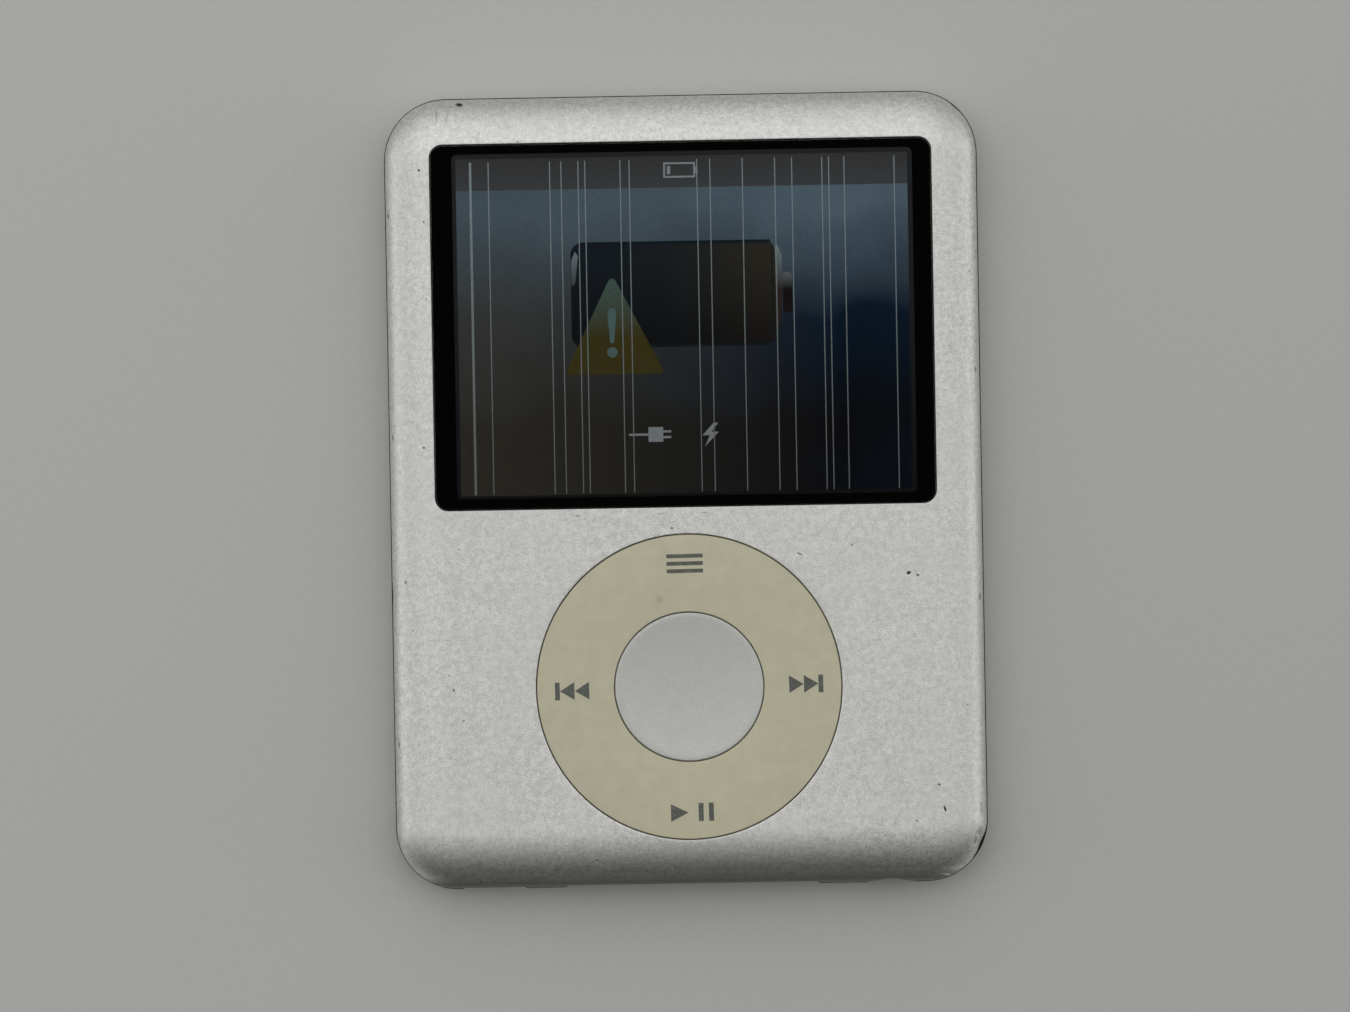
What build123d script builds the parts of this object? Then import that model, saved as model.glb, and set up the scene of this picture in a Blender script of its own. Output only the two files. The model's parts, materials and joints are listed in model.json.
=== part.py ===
from build123d import *
import os
from math import cos, pi, sin

# A pocket digital audio player: an anodised front shell over a polished steel rear cover,
# a display window above, a rocking touch wheel with a centre button below, and a dock
# socket, a headphone jack and a hold switch along the bottom edge.
# Millimetres. +Z comes out of the front face, +Y runs towards the display end, +X is to the
# right as the front is seen. The origin is the middle of the flat back.

# ---- overall sizes ----
body_width = 52.3
body_height = 69.8
body_depth = 6.5
corner_radius = 5.5

# ---- shells ----
shell_wall = 0.9
shell_step_in = 0.1
shell_roll_width = 5.0
shell_roll_depth = 2.75
seam_height = 3.37
seam_gap = 0.08
rear_wall = 0.4
rear_roll_width = 4.0
rear_roll_depth = 2.6
fit_gap = 0.05
inside_gap = 0.2
rail_steel = 0.3
rail_end_gap = 4.0
hook_count = 5
hook_end_gap = 3.0
hook_length = 2.4
hook_reach = 0.32
hook_height = 0.35

# ---- window and display, stacked downwards from the front face ----
window_width = 44.12
window_height = 32.18
window_corner = 1.2
window_to_top_edge = 4.15
window_seat_depth = 1.2
window_frame_rim = 1.3
window_frame_cover = 0.6
lens_recess = 0.08
lens_edge = 0.1
lens_flange_rim = 0.65
lens_flange_thickness = 0.3
adhesive_thickness = 0.1
mask_thickness = 0.05
mask_overlap = 0.5
view_side_margin = 1.81
view_end_margin = 0.925
view_offset_x = 0.12
view_offset_y = 0.07
view_corner = 0.5
gasket_thickness = 0.2
gasket_corner = 0.5
gasket_step = 0.2
polariser_thickness = 0.1
polariser_overlap = 0.15
glass_thickness = 0.35
glass_side_rim = 1.25
glass_rim = 0.45
glass_top_rim = 0.8
glass_ledge = 1.4
film_thickness = 0.05
film_side_gap = 0.4
reflector_side_gap = 0.2
guide_thickness = 0.5
guide_inset = 0.4
guide_corner = 0.4
tray_wall = 0.25
tray_floor = 0.15
tray_corner = 0.2
tray_low_gap = 0.05
tray_top_gap = 0.3
tray_side_gap = 0.45
led_count = 6
led_width = 2.2
led_height = 0.45
led_gap = 0.02
led_end_margin = 4.0
driver_chip_width = 16.0
driver_chip_depth = 0.75
driver_chip_thickness = 0.25
driver_chip_gap = 0.1
display_flex_width = 10.0
display_tail_width = 7.2
display_flex_overlap = 0.45
display_flex_fold = 0.25
display_tail_length = 4.4

# ---- touch wheel and centre button ----
wheel_to_bottom_edge = 17.68
wheel_radius = 13.38
wheel_gap = 0.1
wheel_recess = 0.08
wheel_flange_rim = 0.75
wheel_flange_thickness = 0.3
wheel_tilt = 0.8
wheel_seat_gap = 0.1
wheel_edge = 0.12
button_radius = 6.52
button_gap = 0.1
button_flange_rim = 0.4
button_flange_thickness = 0.23
button_under_ledge = 0.27
ledge_gap = 0.02
undercut_gap = 0.3
touch_inner_gap = 0.2
touch_edge = 1.25
touch_board_thickness = 0.3
carrier_thickness = 0.2
carrier_overhang = 0.3
carrier_edge = 0.4
carrier_pip_radius = 0.5
pivot_arm_width = 1.2
pivot_pip_radius = 0.3
weld_depth = 0.01
switch_space = 0.45
switch_board_thickness = 0.3
dome_height = 0.24
dome_radius = 1.7
dome_edge_gap = 0.1
dome_steel = 0.06
dome_foot = 0.3
dome_shoulder = 0.8
dome_flat = 1.5
select_dome_extra_radius = 0.3
select_dome_extra_height = 0.1
plunger_gap = 0.7
plunger_plate = 0.15
plunger_radius = 1.3
plunger_tip_radius = 0.9
plunger_tip = 0.1
press_gap = 0.02
spring_inner_radius = 5.2
spring_width = 1.0
spring_steel = 0.1
spring_lift = 0.2
spring_arm_width = 0.8
post_circle = 4.3
post_radius = 0.5
pivot_gap = 0.03
arm_overlap = 0.2

# ---- frame, boards and battery ----
frame_wall = 1.0
frame_depth = 1.7
frame_plate = 0.3
frame_overlap = 0.25
cut_clearance = 0.2
step_gap = 0.5
board_step_gap = 0.15
riser_thickness = 0.35
socket_thickness = 0.33
socket_end = 0.6
socket_lip = 0.1
socket_mouth = 0.45
display_socket_depth = 1.8
wheel_socket_depth = 1.4
flex_thickness = 0.08
wheel_flex_x = 6.5
wheel_flex_width = 2.8
wheel_flex_inset = 3.73
wheel_flex_top_tab = 1.4
wheel_flex_low_tab = 1.8
component_space = 0.5
board_thickness = 0.6
board_notch_gap = 0.35
board_width = 41.0
board_screw_inset = 2.2
board_screw_row = 3.0
screw_radius = 0.5
screw_head_radius = 0.8
screw_head_height = 0.3
screw_slot_width = 0.2
screw_slot_depth = 0.15
thread_gap = 0.02
screw_pad_radius = 1.25
screw_post_radius = 1.0
screw_pad_thickness = 0.6
boss_radius = 0.95
boss_from_wall = 2.15
top_screws_from_edge = 7.0
middle_screws_from_edge = 29.0
low_screws_from_edge = 21.0
boss_roof_gap = 0.35
boss_hole_roof = 0.6
screw_roof = 0.9
battery_width = 41.0
battery_end_gap = 1.48
battery_corner = 1.5
battery_adhesive_thickness = 0.15
battery_rest = 0.15
battery_from_display = 4.0
battery_pad = 28.0
battery_pad_inset = 3.9
cell_board_width = 14.0
cell_board_depth = 1.35
cell_board_gap = 0.05
cell_board_rise = 0.5
cell_board_thickness = 0.7
lead_radius = 0.2
lead_pitch = 1.2
lead_overlap = 2.0
lead_drop = 0.22
insulator_thickness = 0.05
insulator_end_gap = 6.5
insulator_corner = 1.0
insulator_shift = 1.0

# ---- chips on the board: middle across, middle from the wheel's, width, height, thickness ----
processor = (-9.5, 4.0, 9.0, 9.0, 1.0)
flash_memory = (6.0, 3.0, 12.0, 17.0, 1.1)
small_chip_list = ((-12.5, -6.5, 6.0, 6.0, 0.9), (-4.5, -7.0, 5.0, 5.0, 0.8), (16.0, 6.5, 4.0, 4.0, 0.8))
can_gap = 0.85
can_roof_gap = 0.25
can_wall = 0.15
capacitor_count = 8
capacitor_pitch = 1.7
capacitor_start_x = -16.5
upper_capacitor_row = 10.7
lower_capacitor_row = -10.9
lower_row_shift = 1.0
front_capacitor_row = -9.0
capacitor_width = 0.6
capacitor_length = 1.0
capacitor_height = 0.5
small_capacitor_length = 0.8
small_capacitor_height = 0.35

# ---- sockets and switch along the bottom edge ----
jack_x = 17.5
jack_bore_radius = 1.78
jack_bore_length = 14.0
jack_nose_wall = 0.3
jack_body_wall = 0.82
jack_roof = 0.17
jack_end_wall = 0.8
jack_height = 2.75
jack_nose_length = 3.0
jack_floor = 0.25
jack_contact_places = (5.0, 9.5)
jack_contact_length = 3.0
jack_contact_pocket = 0.5
jack_contact_height = 0.9
jack_contact_thickness = 0.2
jack_contact_gap = 0.1
jack_flex_length = 5.5
jack_flex_place = 6.0
jack_flex_overlap = 2.5
dock_height = 2.9
dock_width = 21.6
dock_opening = 2.3
dock_wall = 0.3
dock_length = 5.1
dock_corner = 0.4
dock_inner_corner = 0.25
dock_insert_corner = 0.25
dock_edge_inset = 0.1
dock_back_wall = 0.7
dock_tongue_recess = 1.1
dock_contact_recess = 1.3
dock_contact_tail = 1.0
dock_contact_foot = 0.3
dock_weld = 0.1
dock_tongue_width = 19.8
dock_tongue = 0.6
dock_contact_count = 30
dock_pitch = 0.5
dock_contact_width = 0.26
dock_contact_thickness = 0.12
hold_x = -17.5
hold_height = 3.25
hold_slot_width = 5.5
hold_slot_height = 1.6
hold_knob_width = 2.6
hold_side_gap = 0.25
hold_knob_recess = 0.35
hold_flange_thickness = 0.35
hold_lip = 0.45
hold_slot_corner = 0.6
hold_knob_corner = 0.3
hold_knob_gap = 0.3
hold_flange_side = 0.9
hold_flange_gap = 0.35
hold_film_gap = 0.2
hold_film_height = 1.9
hold_peg_width = 0.6
hold_peg_height = 0.5
hold_peg_length = 0.7
hold_peg_gap = 0.2
hold_rib_count = 4
hold_rib_pitch = 0.5
hold_rib_width = 0.2
hold_rib_depth = 0.12
hold_body_width = 7.8
hold_body_depth = 2.3
hold_body_height = 2.3
hold_flex_width = 4.0
hold_flex_overlap = 1.8

# ---- places worked out from the sizes ----
half_width = body_width / 2
half_height = body_height / 2
ceiling = body_depth - shell_wall
shell_bottom = seam_height + seam_gap
shell_inner_x = half_width - shell_step_in - shell_wall
shell_inner_y = half_height - shell_step_in - shell_wall
frame_x = shell_inner_x - inside_gap
frame_y = shell_inner_y - inside_gap
frame_corner = corner_radius - shell_step_in - shell_wall - inside_gap

window_y = half_height - window_to_top_edge - window_height / 2
window_seat = body_depth - window_seat_depth
flange_top = window_seat - adhesive_thickness
lens_bottom = flange_top - lens_flange_thickness
mask_bottom = lens_bottom - mask_thickness
gasket_bottom = mask_bottom - gasket_thickness
polariser_bottom = gasket_bottom - polariser_thickness
glass_bottom = polariser_bottom - glass_thickness
array_bottom = glass_bottom - glass_thickness
films_bottom = array_bottom - film_thickness
guide_bottom = films_bottom - guide_thickness
reflector_bottom = guide_bottom - film_thickness
tray_bottom = reflector_bottom - tray_floor
view_width = window_width - 2 * view_side_margin
view_height = window_height - 2 * view_end_margin
view_y = window_y + view_offset_y
glass_width = view_width + 2 * glass_side_rim
glass_top_y = view_y + view_height / 2 + glass_top_rim
glass_low_y = view_y - view_height / 2 - glass_rim
array_low_y = glass_low_y - glass_ledge
guide_low_y = array_low_y + guide_inset
tray_low_y = array_low_y - tray_wall - tray_low_gap
tray_top_y = glass_top_y + tray_wall + tray_top_gap
tray_half_width = glass_width / 2 + tray_wall + tray_side_gap

wheel_y = wheel_to_bottom_edge - half_height
wheel_top = body_depth - wheel_recess
# The flange's rim rises when the wheel rocks both ways at once.
wheel_rise = (wheel_radius + wheel_flange_rim) * sin(wheel_tilt * pi / 180) * 2 ** 0.5
wheel_flange_top = ceiling - wheel_rise - press_gap
wheel_flange_bottom = wheel_flange_top - wheel_flange_thickness
touch_bottom = wheel_flange_bottom - touch_board_thickness
carrier_bottom = touch_bottom - carrier_thickness
switch_top = carrier_bottom - switch_space
switch_bottom = switch_top - switch_board_thickness
wheel_hole = button_radius + button_gap
button_flange_radius = button_radius + button_flange_rim
wheel_undercut = button_flange_radius + undercut_gap
ledge_height = ceiling + ledge_gap
button_flange_top = ledge_height - button_under_ledge
button_flange_bottom = button_flange_top - button_flange_thickness
touch_inner = button_flange_radius + touch_inner_gap
touch_outer = wheel_radius - touch_edge
dome_circle = touch_outer - dome_edge_gap - dome_radius
carrier_inner = touch_inner - carrier_overhang
carrier_outer = touch_outer - carrier_edge
dome_top = switch_top + dome_height
spring_bottom = switch_top + spring_lift
spring_top = spring_bottom + spring_steel
spring_outer = spring_inner_radius + spring_width
select_dome_height = dome_height + select_dome_extra_height
plunger_bottom = switch_top + select_dome_height + press_gap

plate_top = tray_bottom - fit_gap
plate_bottom = plate_top - frame_plate
bracket_bottom = switch_bottom - frame_plate
frame_top = shell_bottom + frame_overlap
frame_bottom = frame_top - frame_depth
boss_foot = frame_top - fit_gap
head_top = boss_foot - screw_pad_thickness
board_top = bracket_bottom - component_space
board_bottom = board_top - board_thickness
rear_floor = rear_wall + insulator_thickness

shell_face_y = -half_height
jack_nose_radius = jack_bore_radius + jack_nose_wall
jack_half_width = jack_bore_radius + jack_body_wall
jack_body_front = shell_face_y + jack_nose_length
jack_body_back = shell_face_y + jack_bore_length + jack_end_wall
jack_body_top = jack_height + jack_bore_radius + jack_roof
jack_body_low = jack_height - jack_bore_radius - jack_floor
dock_outer_width = dock_width + 2 * dock_wall
dock_outer_height = dock_opening + 2 * dock_wall
dock_back = shell_face_y + dock_length
board_low_y = dock_back + cut_clearance
step_y = tray_low_y - step_gap
board_high_y = step_y - riser_thickness - board_step_gap
socket_top = board_top + socket_thickness
display_socket_y = board_high_y - display_tail_length
wheel_flex_y = wheel_y + touch_outer - wheel_flex_inset
jack_notch_y = jack_body_back + board_notch_gap
jack_notch_x = jack_x - jack_half_width - board_notch_gap
hold_travel = hold_slot_width - hold_knob_width - 2 * hold_side_gap
hold_rest_x = hold_x + hold_travel / 2
hold_knob_height = hold_slot_height - hold_knob_gap
hold_flange_y = -shell_inner_y + hold_flange_gap
hold_back_y = hold_flange_y + hold_flange_thickness
hold_film_y = hold_back_y + hold_film_gap
hold_body_y = hold_film_y + film_thickness
hold_body_back = hold_body_y + hold_body_depth
screw_x = half_width - boss_from_wall
screw_rows = (half_height - top_screws_from_edge, half_height - middle_screws_from_edge,
              low_screws_from_edge - half_height)
battery_low_y = tray_low_y + battery_from_display
battery_high_y = frame_y - frame_wall - battery_end_gap
battery_height = battery_high_y - battery_low_y
battery_y = (battery_low_y + battery_high_y) / 2
battery_top = plate_bottom - battery_adhesive_thickness
battery_bottom = rear_floor + battery_rest


# ---- shapes that repeat ----
def slab(x_low, x_high, y_low, y_high, z_low, z_high):
    """A plain block between two corners."""
    size = (x_high - x_low, y_high - y_low, z_high - z_low)
    middle = ((x_low + x_high) / 2, (y_low + y_high) / 2, (z_low + z_high) / 2)
    return Pos(*middle) * Box(*size)


def rounded_plate(width, height, corner, z_low, z_high, x=0.0, y=0.0):
    """A flat plate with rounded corners, lying in the XY plane."""
    return extrude(Pos(x, y, z_low) * RectangleRounded(width, height, corner), z_high - z_low)


def disc(radius, z_low, z_high, x=0.0, y=0.0):
    """An upright round disc."""
    return Pos(x, y, (z_low + z_high) / 2) * Cylinder(radius, z_high - z_low)


def ring(inner, outer, z_low, z_high, x=0.0, y=0.0):
    """A flat round ring."""
    return disc(outer, z_low, z_high, x, y) - disc(inner, z_low - 1, z_high + 1, x, y)


def turned(points, x=0.0, y=0.0):
    """A closed outline of (radius, height) points turned about an upright axis."""
    outline = Polyline(*[(radius, 0, height) for radius, height in points], close=True)
    return Pos(x, y, 0) * revolve(make_face(outline), Axis.Z)


def socket_prism(x, z, width, height, corner, y_low, y_high):
    """A rounded bar that runs along Y, for holes and sockets in the bottom edge."""
    outline = Pos(x, y_high, z) * Rot(90, 0, 0) * RectangleRounded(width, height, corner)
    return extrude(outline, y_high - y_low)


def socket_rod(x, z, radius, y_low, y_high):
    """A round bar that runs along Y."""
    return Pos(x, (y_low + y_high) / 2, z) * Rot(90, 0, 0) * Cylinder(radius, y_high - y_low)


def rolled_block(width, height, corner, z_low, z_high, roll_width, roll_depth):
    """A rounded block whose top edge rolls down to the side as a quarter ellipse."""
    block = extrude(Pos(0, 0, z_low) * RectangleRounded(width, height, corner), z_high - z_low)
    path = (Pos(0, 0, z_high - roll_depth) * RectangleRounded(width, height, corner)).wire()
    outward = (path % 0).cross(Vector(0, 0, 1))
    if outward.dot(path @ 0) < 0:
        outward = -outward
    section_plane = Plane(origin=path @ 0, x_dir=outward, z_dir=outward.cross(Vector(0, 0, 1)))
    roll = EllipticalCenterArc((-roll_width, 0), roll_width, roll_depth, start_angle=0, arc_size=90)
    above = Polyline((-roll_width, roll_depth), (-roll_width, roll_depth + 1), (1, roll_depth + 1), (1, 0), (0, 0))
    return block - sweep(section_plane * make_face([roll, *above.edges()]), path=path)


def front_volume(inset, z_low):
    """The outside of the front shell, drawn in by inset all round."""
    side = shell_step_in + inset
    return rolled_block(body_width - 2 * side, body_height - 2 * side, corner_radius - side, z_low,
                        body_depth - inset, shell_roll_width - inset, shell_roll_depth - inset)


def rear_volume(inset, z_high):
    """The outside of the rear cover, drawn in by inset all round."""
    upright = rolled_block(body_width - 2 * inset, body_height - 2 * inset, corner_radius - inset, -z_high,
                           -inset, rear_roll_width - inset, rear_roll_depth - inset)
    return Rot(180, 0, 0) * upright


def inside_surface(inset):
    """Everything inside the closed player's outer surface, drawn in by inset."""
    return front_volume(inset, seam_height) + rear_volume(inset, seam_height)


# ---- the openings in the bottom edge ----
def jack_hole(gap):
    return socket_rod(jack_x, jack_height, jack_nose_radius + gap, shell_face_y - 1, jack_body_front)


def dock_hole(gap):
    return socket_prism(0, dock_height, dock_outer_width + 2 * gap, dock_outer_height + 2 * gap, dock_corner + gap,
                        shell_face_y - 1, dock_back)


def hold_slot():
    return socket_prism(hold_x, hold_height, hold_slot_width, hold_slot_height, hold_slot_corner,
                        shell_face_y - 1, hold_flange_y)


# ---- casing ----
def make_front_shell():
    shell = front_volume(0, shell_bottom) - front_volume(shell_wall, shell_bottom - 1)
    shell += rounded_plate(window_width + 2 * window_frame_rim, window_height + 2 * window_frame_rim,
                           window_corner + window_frame_rim, window_seat,
                           body_depth - window_frame_cover, y=window_y)
    for side in (-1, 1):
        for row in screw_rows:
            shell += disc(boss_radius, frame_top, ceiling - boss_roof_gap, side * screw_x, row)
            shell -= disc(screw_radius, frame_top - 1, ceiling - boss_hole_roof, side * screw_x, row)
    shell -= rounded_plate(window_width, window_height, window_corner, window_seat - 1, body_depth + 1, y=window_y)
    shell -= disc(wheel_radius + wheel_gap, ceiling - 1, body_depth + 1, 0, wheel_y)
    shell -= disc(wheel_radius + wheel_flange_rim + wheel_seat_gap, ceiling - 1, ceiling, 0, wheel_y)
    shell -= jack_hole(fit_gap)
    shell -= dock_hole(fit_gap)
    return shell - hold_slot()


def make_rear_cover():
    cover = rear_volume(0, seam_height) - rear_volume(rear_wall, seam_height + 1)
    cover -= jack_hole(fit_gap)
    cover -= dock_hole(fit_gap)
    return cover - hold_slot()


def make_clip_rails():
    """Steel strips welded inside the rear cover's long sides, with hooks that catch the frame."""
    rail_outer = half_width - rear_wall
    rail_half_length = half_height - corner_radius - rail_end_gap
    rails = []
    for side in (-1, 1):
        rail = slab(rail_outer - rail_steel, rail_outer, -rail_half_length, rail_half_length, rear_roll_depth,
                    seam_height)
        for step in range(hook_count):
            hook_y = (2 * step / (hook_count - 1) - 1) * (rail_half_length - hook_end_gap)
            rail += slab(rail_outer - rail_steel - hook_reach, rail_outer - rail_steel, hook_y - hook_length / 2,
                         hook_y + hook_length / 2, seam_height - hook_height, seam_height)
        rails.append(rail if side > 0 else mirror(rail, Plane.YZ))
    return rails


# ---- window and display ----
def make_window_lens():
    plug = rounded_plate(window_width - 2 * fit_gap, window_height - 2 * fit_gap, window_corner - fit_gap,
                         lens_bottom, body_depth - lens_recess, y=window_y)
    plug = fillet(plug.edges().group_by(Axis.Z)[-1], lens_edge)
    flange = rounded_plate(window_width + 2 * lens_flange_rim, window_height + 2 * lens_flange_rim,
                           window_corner + lens_flange_rim, lens_bottom, flange_top, y=window_y)
    return plug + flange


def frame_sheet(width, height, corner, z_low, z_high, hole_width, hole_height, hole_corner, y):
    """A thin flat frame with a rounded opening over the visible picture."""
    outer = rounded_plate(width, height, corner, z_low, z_high, y=y)
    return outer - rounded_plate(hole_width, hole_height, hole_corner, z_low - 1, z_high + 1, view_offset_x, view_y)


def make_window_adhesive():
    outer = rounded_plate(window_width + 2 * lens_flange_rim, window_height + 2 * lens_flange_rim,
                          window_corner + lens_flange_rim, flange_top, window_seat, y=window_y)
    return outer - rounded_plate(window_width, window_height, window_corner, flange_top - 1, window_seat + 1,
                                 y=window_y)


def make_window_mask():
    return frame_sheet(window_width + 2 * mask_overlap, window_height + 2 * mask_overlap,
                       window_corner + mask_overlap, mask_bottom, lens_bottom,
                       view_width, view_height, view_corner, window_y)


def make_display_gasket():
    height = glass_top_y - glass_low_y
    return frame_sheet(glass_width, height, gasket_corner, gasket_bottom, mask_bottom,
                       view_width + 2 * gasket_step, view_height + 2 * gasket_step, view_corner,
                       (glass_top_y + glass_low_y) / 2)


def make_lcd_polariser():
    half_wide = view_width / 2 + polariser_overlap
    half_high = view_height / 2 + polariser_overlap
    return slab(view_offset_x - half_wide, view_offset_x + half_wide, view_y - half_high, view_y + half_high,
                polariser_bottom, gasket_bottom)


def make_lcd_glass():
    return slab(-glass_width / 2, glass_width / 2, glass_low_y, glass_top_y, glass_bottom, polariser_bottom)


def make_lcd_array_glass():
    return slab(-glass_width / 2, glass_width / 2, array_low_y, glass_top_y, array_bottom, glass_bottom)


def make_lcd_driver_chip():
    chip_back = glass_low_y - driver_chip_gap
    return slab(-driver_chip_width / 2, driver_chip_width / 2, chip_back - driver_chip_depth, chip_back,
                glass_bottom, glass_bottom + driver_chip_thickness)


def make_backlight_films():
    return slab(film_side_gap - glass_width / 2, glass_width / 2 - film_side_gap, guide_low_y, glass_top_y,
                films_bottom, array_bottom)


def make_light_guide():
    guide = slab(film_side_gap - glass_width / 2, glass_width / 2 - film_side_gap, guide_low_y, glass_top_y,
                 guide_bottom, films_bottom)
    return chamfer(guide.edges().filter_by(Axis.Z), guide_corner)


def make_backlight_reflector():
    return slab(reflector_side_gap - glass_width / 2, glass_width / 2 - reflector_side_gap, guide_low_y,
                glass_top_y, reflector_bottom, guide_bottom)


def make_backlight_leds():
    """Small white lamps in a row along the lower edge of the light guide."""
    pitch = (glass_width - 2 * led_end_margin) / (led_count - 1)
    lamps = []
    for lamp in range(led_count):
        middle = (lamp - (led_count - 1) / 2) * pitch
        lamps.append(slab(middle - led_width / 2, middle + led_width / 2, tray_low_y + tray_wall + led_gap,
                          guide_low_y - led_gap, reflector_bottom, reflector_bottom + led_height))
    return lamps


def make_backlight_tray():
    tray = slab(-tray_half_width, tray_half_width, tray_low_y, tray_top_y, tray_bottom, array_bottom)
    tray -= slab(tray_wall - tray_half_width, tray_half_width - tray_wall, tray_low_y + tray_wall,
                 tray_top_y - tray_wall, reflector_bottom, array_bottom + 1)
    outer_corners = tray.edges().filter_by(Axis.Z).sort_by(lambda edge: abs(edge.center().X))[-4:]
    return fillet(outer_corners, tray_corner)


def make_display_flex():
    """A ribbon from the array glass's ledge, down outside the tray and back to its socket."""
    fold_y = tray_low_y - display_flex_fold
    half = display_flex_width / 2
    tail_half = display_tail_width / 2
    ribbon = slab(-half, half, fold_y, array_low_y + display_flex_overlap, glass_bottom,
                  glass_bottom + flex_thickness)
    ribbon += slab(-half, half, fold_y, fold_y + flex_thickness, socket_top, glass_bottom + flex_thickness)
    return ribbon + slab(-tail_half, tail_half, display_socket_y, fold_y + flex_thickness, socket_top,
                         socket_top + flex_thickness)


# ---- touch wheel ----
def make_wheel_cap():
    """The ring that the thumb runs round, with a hidden flange that keeps it under the shell."""
    outline = [
        (wheel_hole, ledge_height),
        (wheel_hole, wheel_top - wheel_edge),
        (wheel_hole + wheel_edge, wheel_top),
        (wheel_radius - wheel_edge, wheel_top),
        (wheel_radius, wheel_top - wheel_edge),
        (wheel_radius, wheel_flange_top),
        (wheel_radius + wheel_flange_rim, wheel_flange_top),
        (wheel_radius + wheel_flange_rim, wheel_flange_bottom),
        (wheel_undercut, wheel_flange_bottom),
        (wheel_undercut, ledge_height),
    ]
    return turned(outline, 0, wheel_y)


def make_wheel_touch_board():
    return ring(touch_inner, touch_outer, touch_bottom, wheel_flange_bottom, 0, wheel_y)


def make_wheel_carrier():
    """The steel plate under the touch board, with four pips over the switches and two pivot arms."""
    plate = ring(carrier_inner, carrier_outer, carrier_bottom, touch_bottom, 0, wheel_y)
    for quarter in range(4):
        angle = quarter * pi / 2
        plate += disc(carrier_pip_radius, dome_top + press_gap, carrier_bottom + weld_depth,
                      dome_circle * cos(angle), wheel_y + dome_circle * sin(angle))
    middle = (spring_inner_radius + spring_outer) / 2
    for side in (-1, 1):
        ends = (side * (middle - carrier_edge), side * (carrier_inner + carrier_overhang))
        plate += slab(-pivot_arm_width / 2, pivot_arm_width / 2, wheel_y + min(ends), wheel_y + max(ends),
                      carrier_bottom, touch_bottom)
        plate += disc(pivot_pip_radius, spring_top + pivot_gap, carrier_bottom + weld_depth, 0,
                      wheel_y + side * middle)
    return plate


def make_wheel_spring():
    """A thin stamped ring: its side arms pivot on the posts, and the plate's arms rock on it."""
    blade = ring(spring_inner_radius, spring_outer, spring_bottom, spring_top, 0, wheel_y)
    for side in (-1, 1):
        ends = (side * (post_circle - post_radius), side * (spring_inner_radius + arm_overlap))
        blade += slab(min(ends), max(ends), wheel_y - spring_arm_width / 2, wheel_y + spring_arm_width / 2,
                      spring_bottom, spring_top)
    return blade


def make_spring_posts():
    post_top = spring_bottom - pivot_gap
    return [disc(post_radius, switch_top, post_top, side * post_circle, wheel_y) for side in (-1, 1)]


def snap_dome(radius, height, x, y):
    """A pressed steel dome that clicks flat when pushed."""
    crown = switch_top + height
    shoulder = radius - dome_shoulder
    flat = radius - dome_flat
    outline = [
        (radius, switch_top),
        (shoulder, crown - press_gap),
        (flat, crown),
        (0, crown),
        (0, crown - dome_steel),
        (flat, crown - dome_steel),
        (shoulder - press_gap, crown - dome_steel - press_gap),
        (radius - dome_foot, switch_top),
    ]
    return turned(outline, x, y)


def make_menu_play_domes():
    return [snap_dome(dome_radius, dome_height, 0, wheel_y + side * dome_circle) for side in (-1, 1)]


def make_track_domes():
    return [snap_dome(dome_radius, dome_height, side * dome_circle, wheel_y) for side in (-1, 1)]


def make_select_dome():
    return snap_dome(dome_radius + select_dome_extra_radius, select_dome_height, 0, wheel_y)


def wheel_flex_slot(y_high):
    """The way through for the wheel's flex tail, up to y_high."""
    half = wheel_flex_width / 2 + fit_gap
    return slab(wheel_flex_x - half, wheel_flex_x + half, wheel_flex_y - fit_gap, y_high, board_top,
                carrier_bottom)


def make_switch_board():
    board = disc(touch_outer, switch_bottom, switch_top, 0, wheel_y)
    return board - wheel_flex_slot(wheel_y + wheel_radius)


def make_centre_button():
    outline = [
        (0, wheel_top),
        (button_radius - wheel_edge, wheel_top),
        (button_radius, wheel_top - wheel_edge),
        (button_radius, button_flange_top),
        (button_flange_radius, button_flange_top),
        (button_flange_radius, button_flange_bottom),
        (0, button_flange_bottom),
    ]
    return turned(outline, 0, wheel_y)


def make_button_plunger():
    outline = [
        (0, button_flange_bottom),
        (spring_inner_radius - plunger_gap, button_flange_bottom),
        (spring_inner_radius - plunger_gap, button_flange_bottom - plunger_plate),
        (plunger_radius, button_flange_bottom - plunger_plate),
        (plunger_radius, plunger_bottom + plunger_tip),
        (plunger_tip_radius, plunger_bottom),
        (0, plunger_bottom),
    ]
    return turned(outline, 0, wheel_y)


def make_wheel_flex():
    """A short tail from the switch board down through the bracket to its socket."""
    left = wheel_flex_x - wheel_flex_width / 2
    right = wheel_flex_x + wheel_flex_width / 2
    outside = wheel_flex_y + flex_thickness
    tail = slab(left, right, wheel_flex_y, outside, socket_top, switch_top)
    tail += slab(left, right, wheel_flex_y - wheel_flex_top_tab, outside, switch_top, switch_top + flex_thickness)
    return tail + slab(left, right, wheel_flex_y - wheel_flex_low_tab, outside, socket_top,
                       socket_top + flex_thickness)


# ---- frame and fasteners ----
def frame_outline(z_low, z_high, inset=0.0):
    return rounded_plate(2 * (frame_x - inset), 2 * (frame_y - inset), frame_corner - inset, z_low, z_high)


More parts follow.
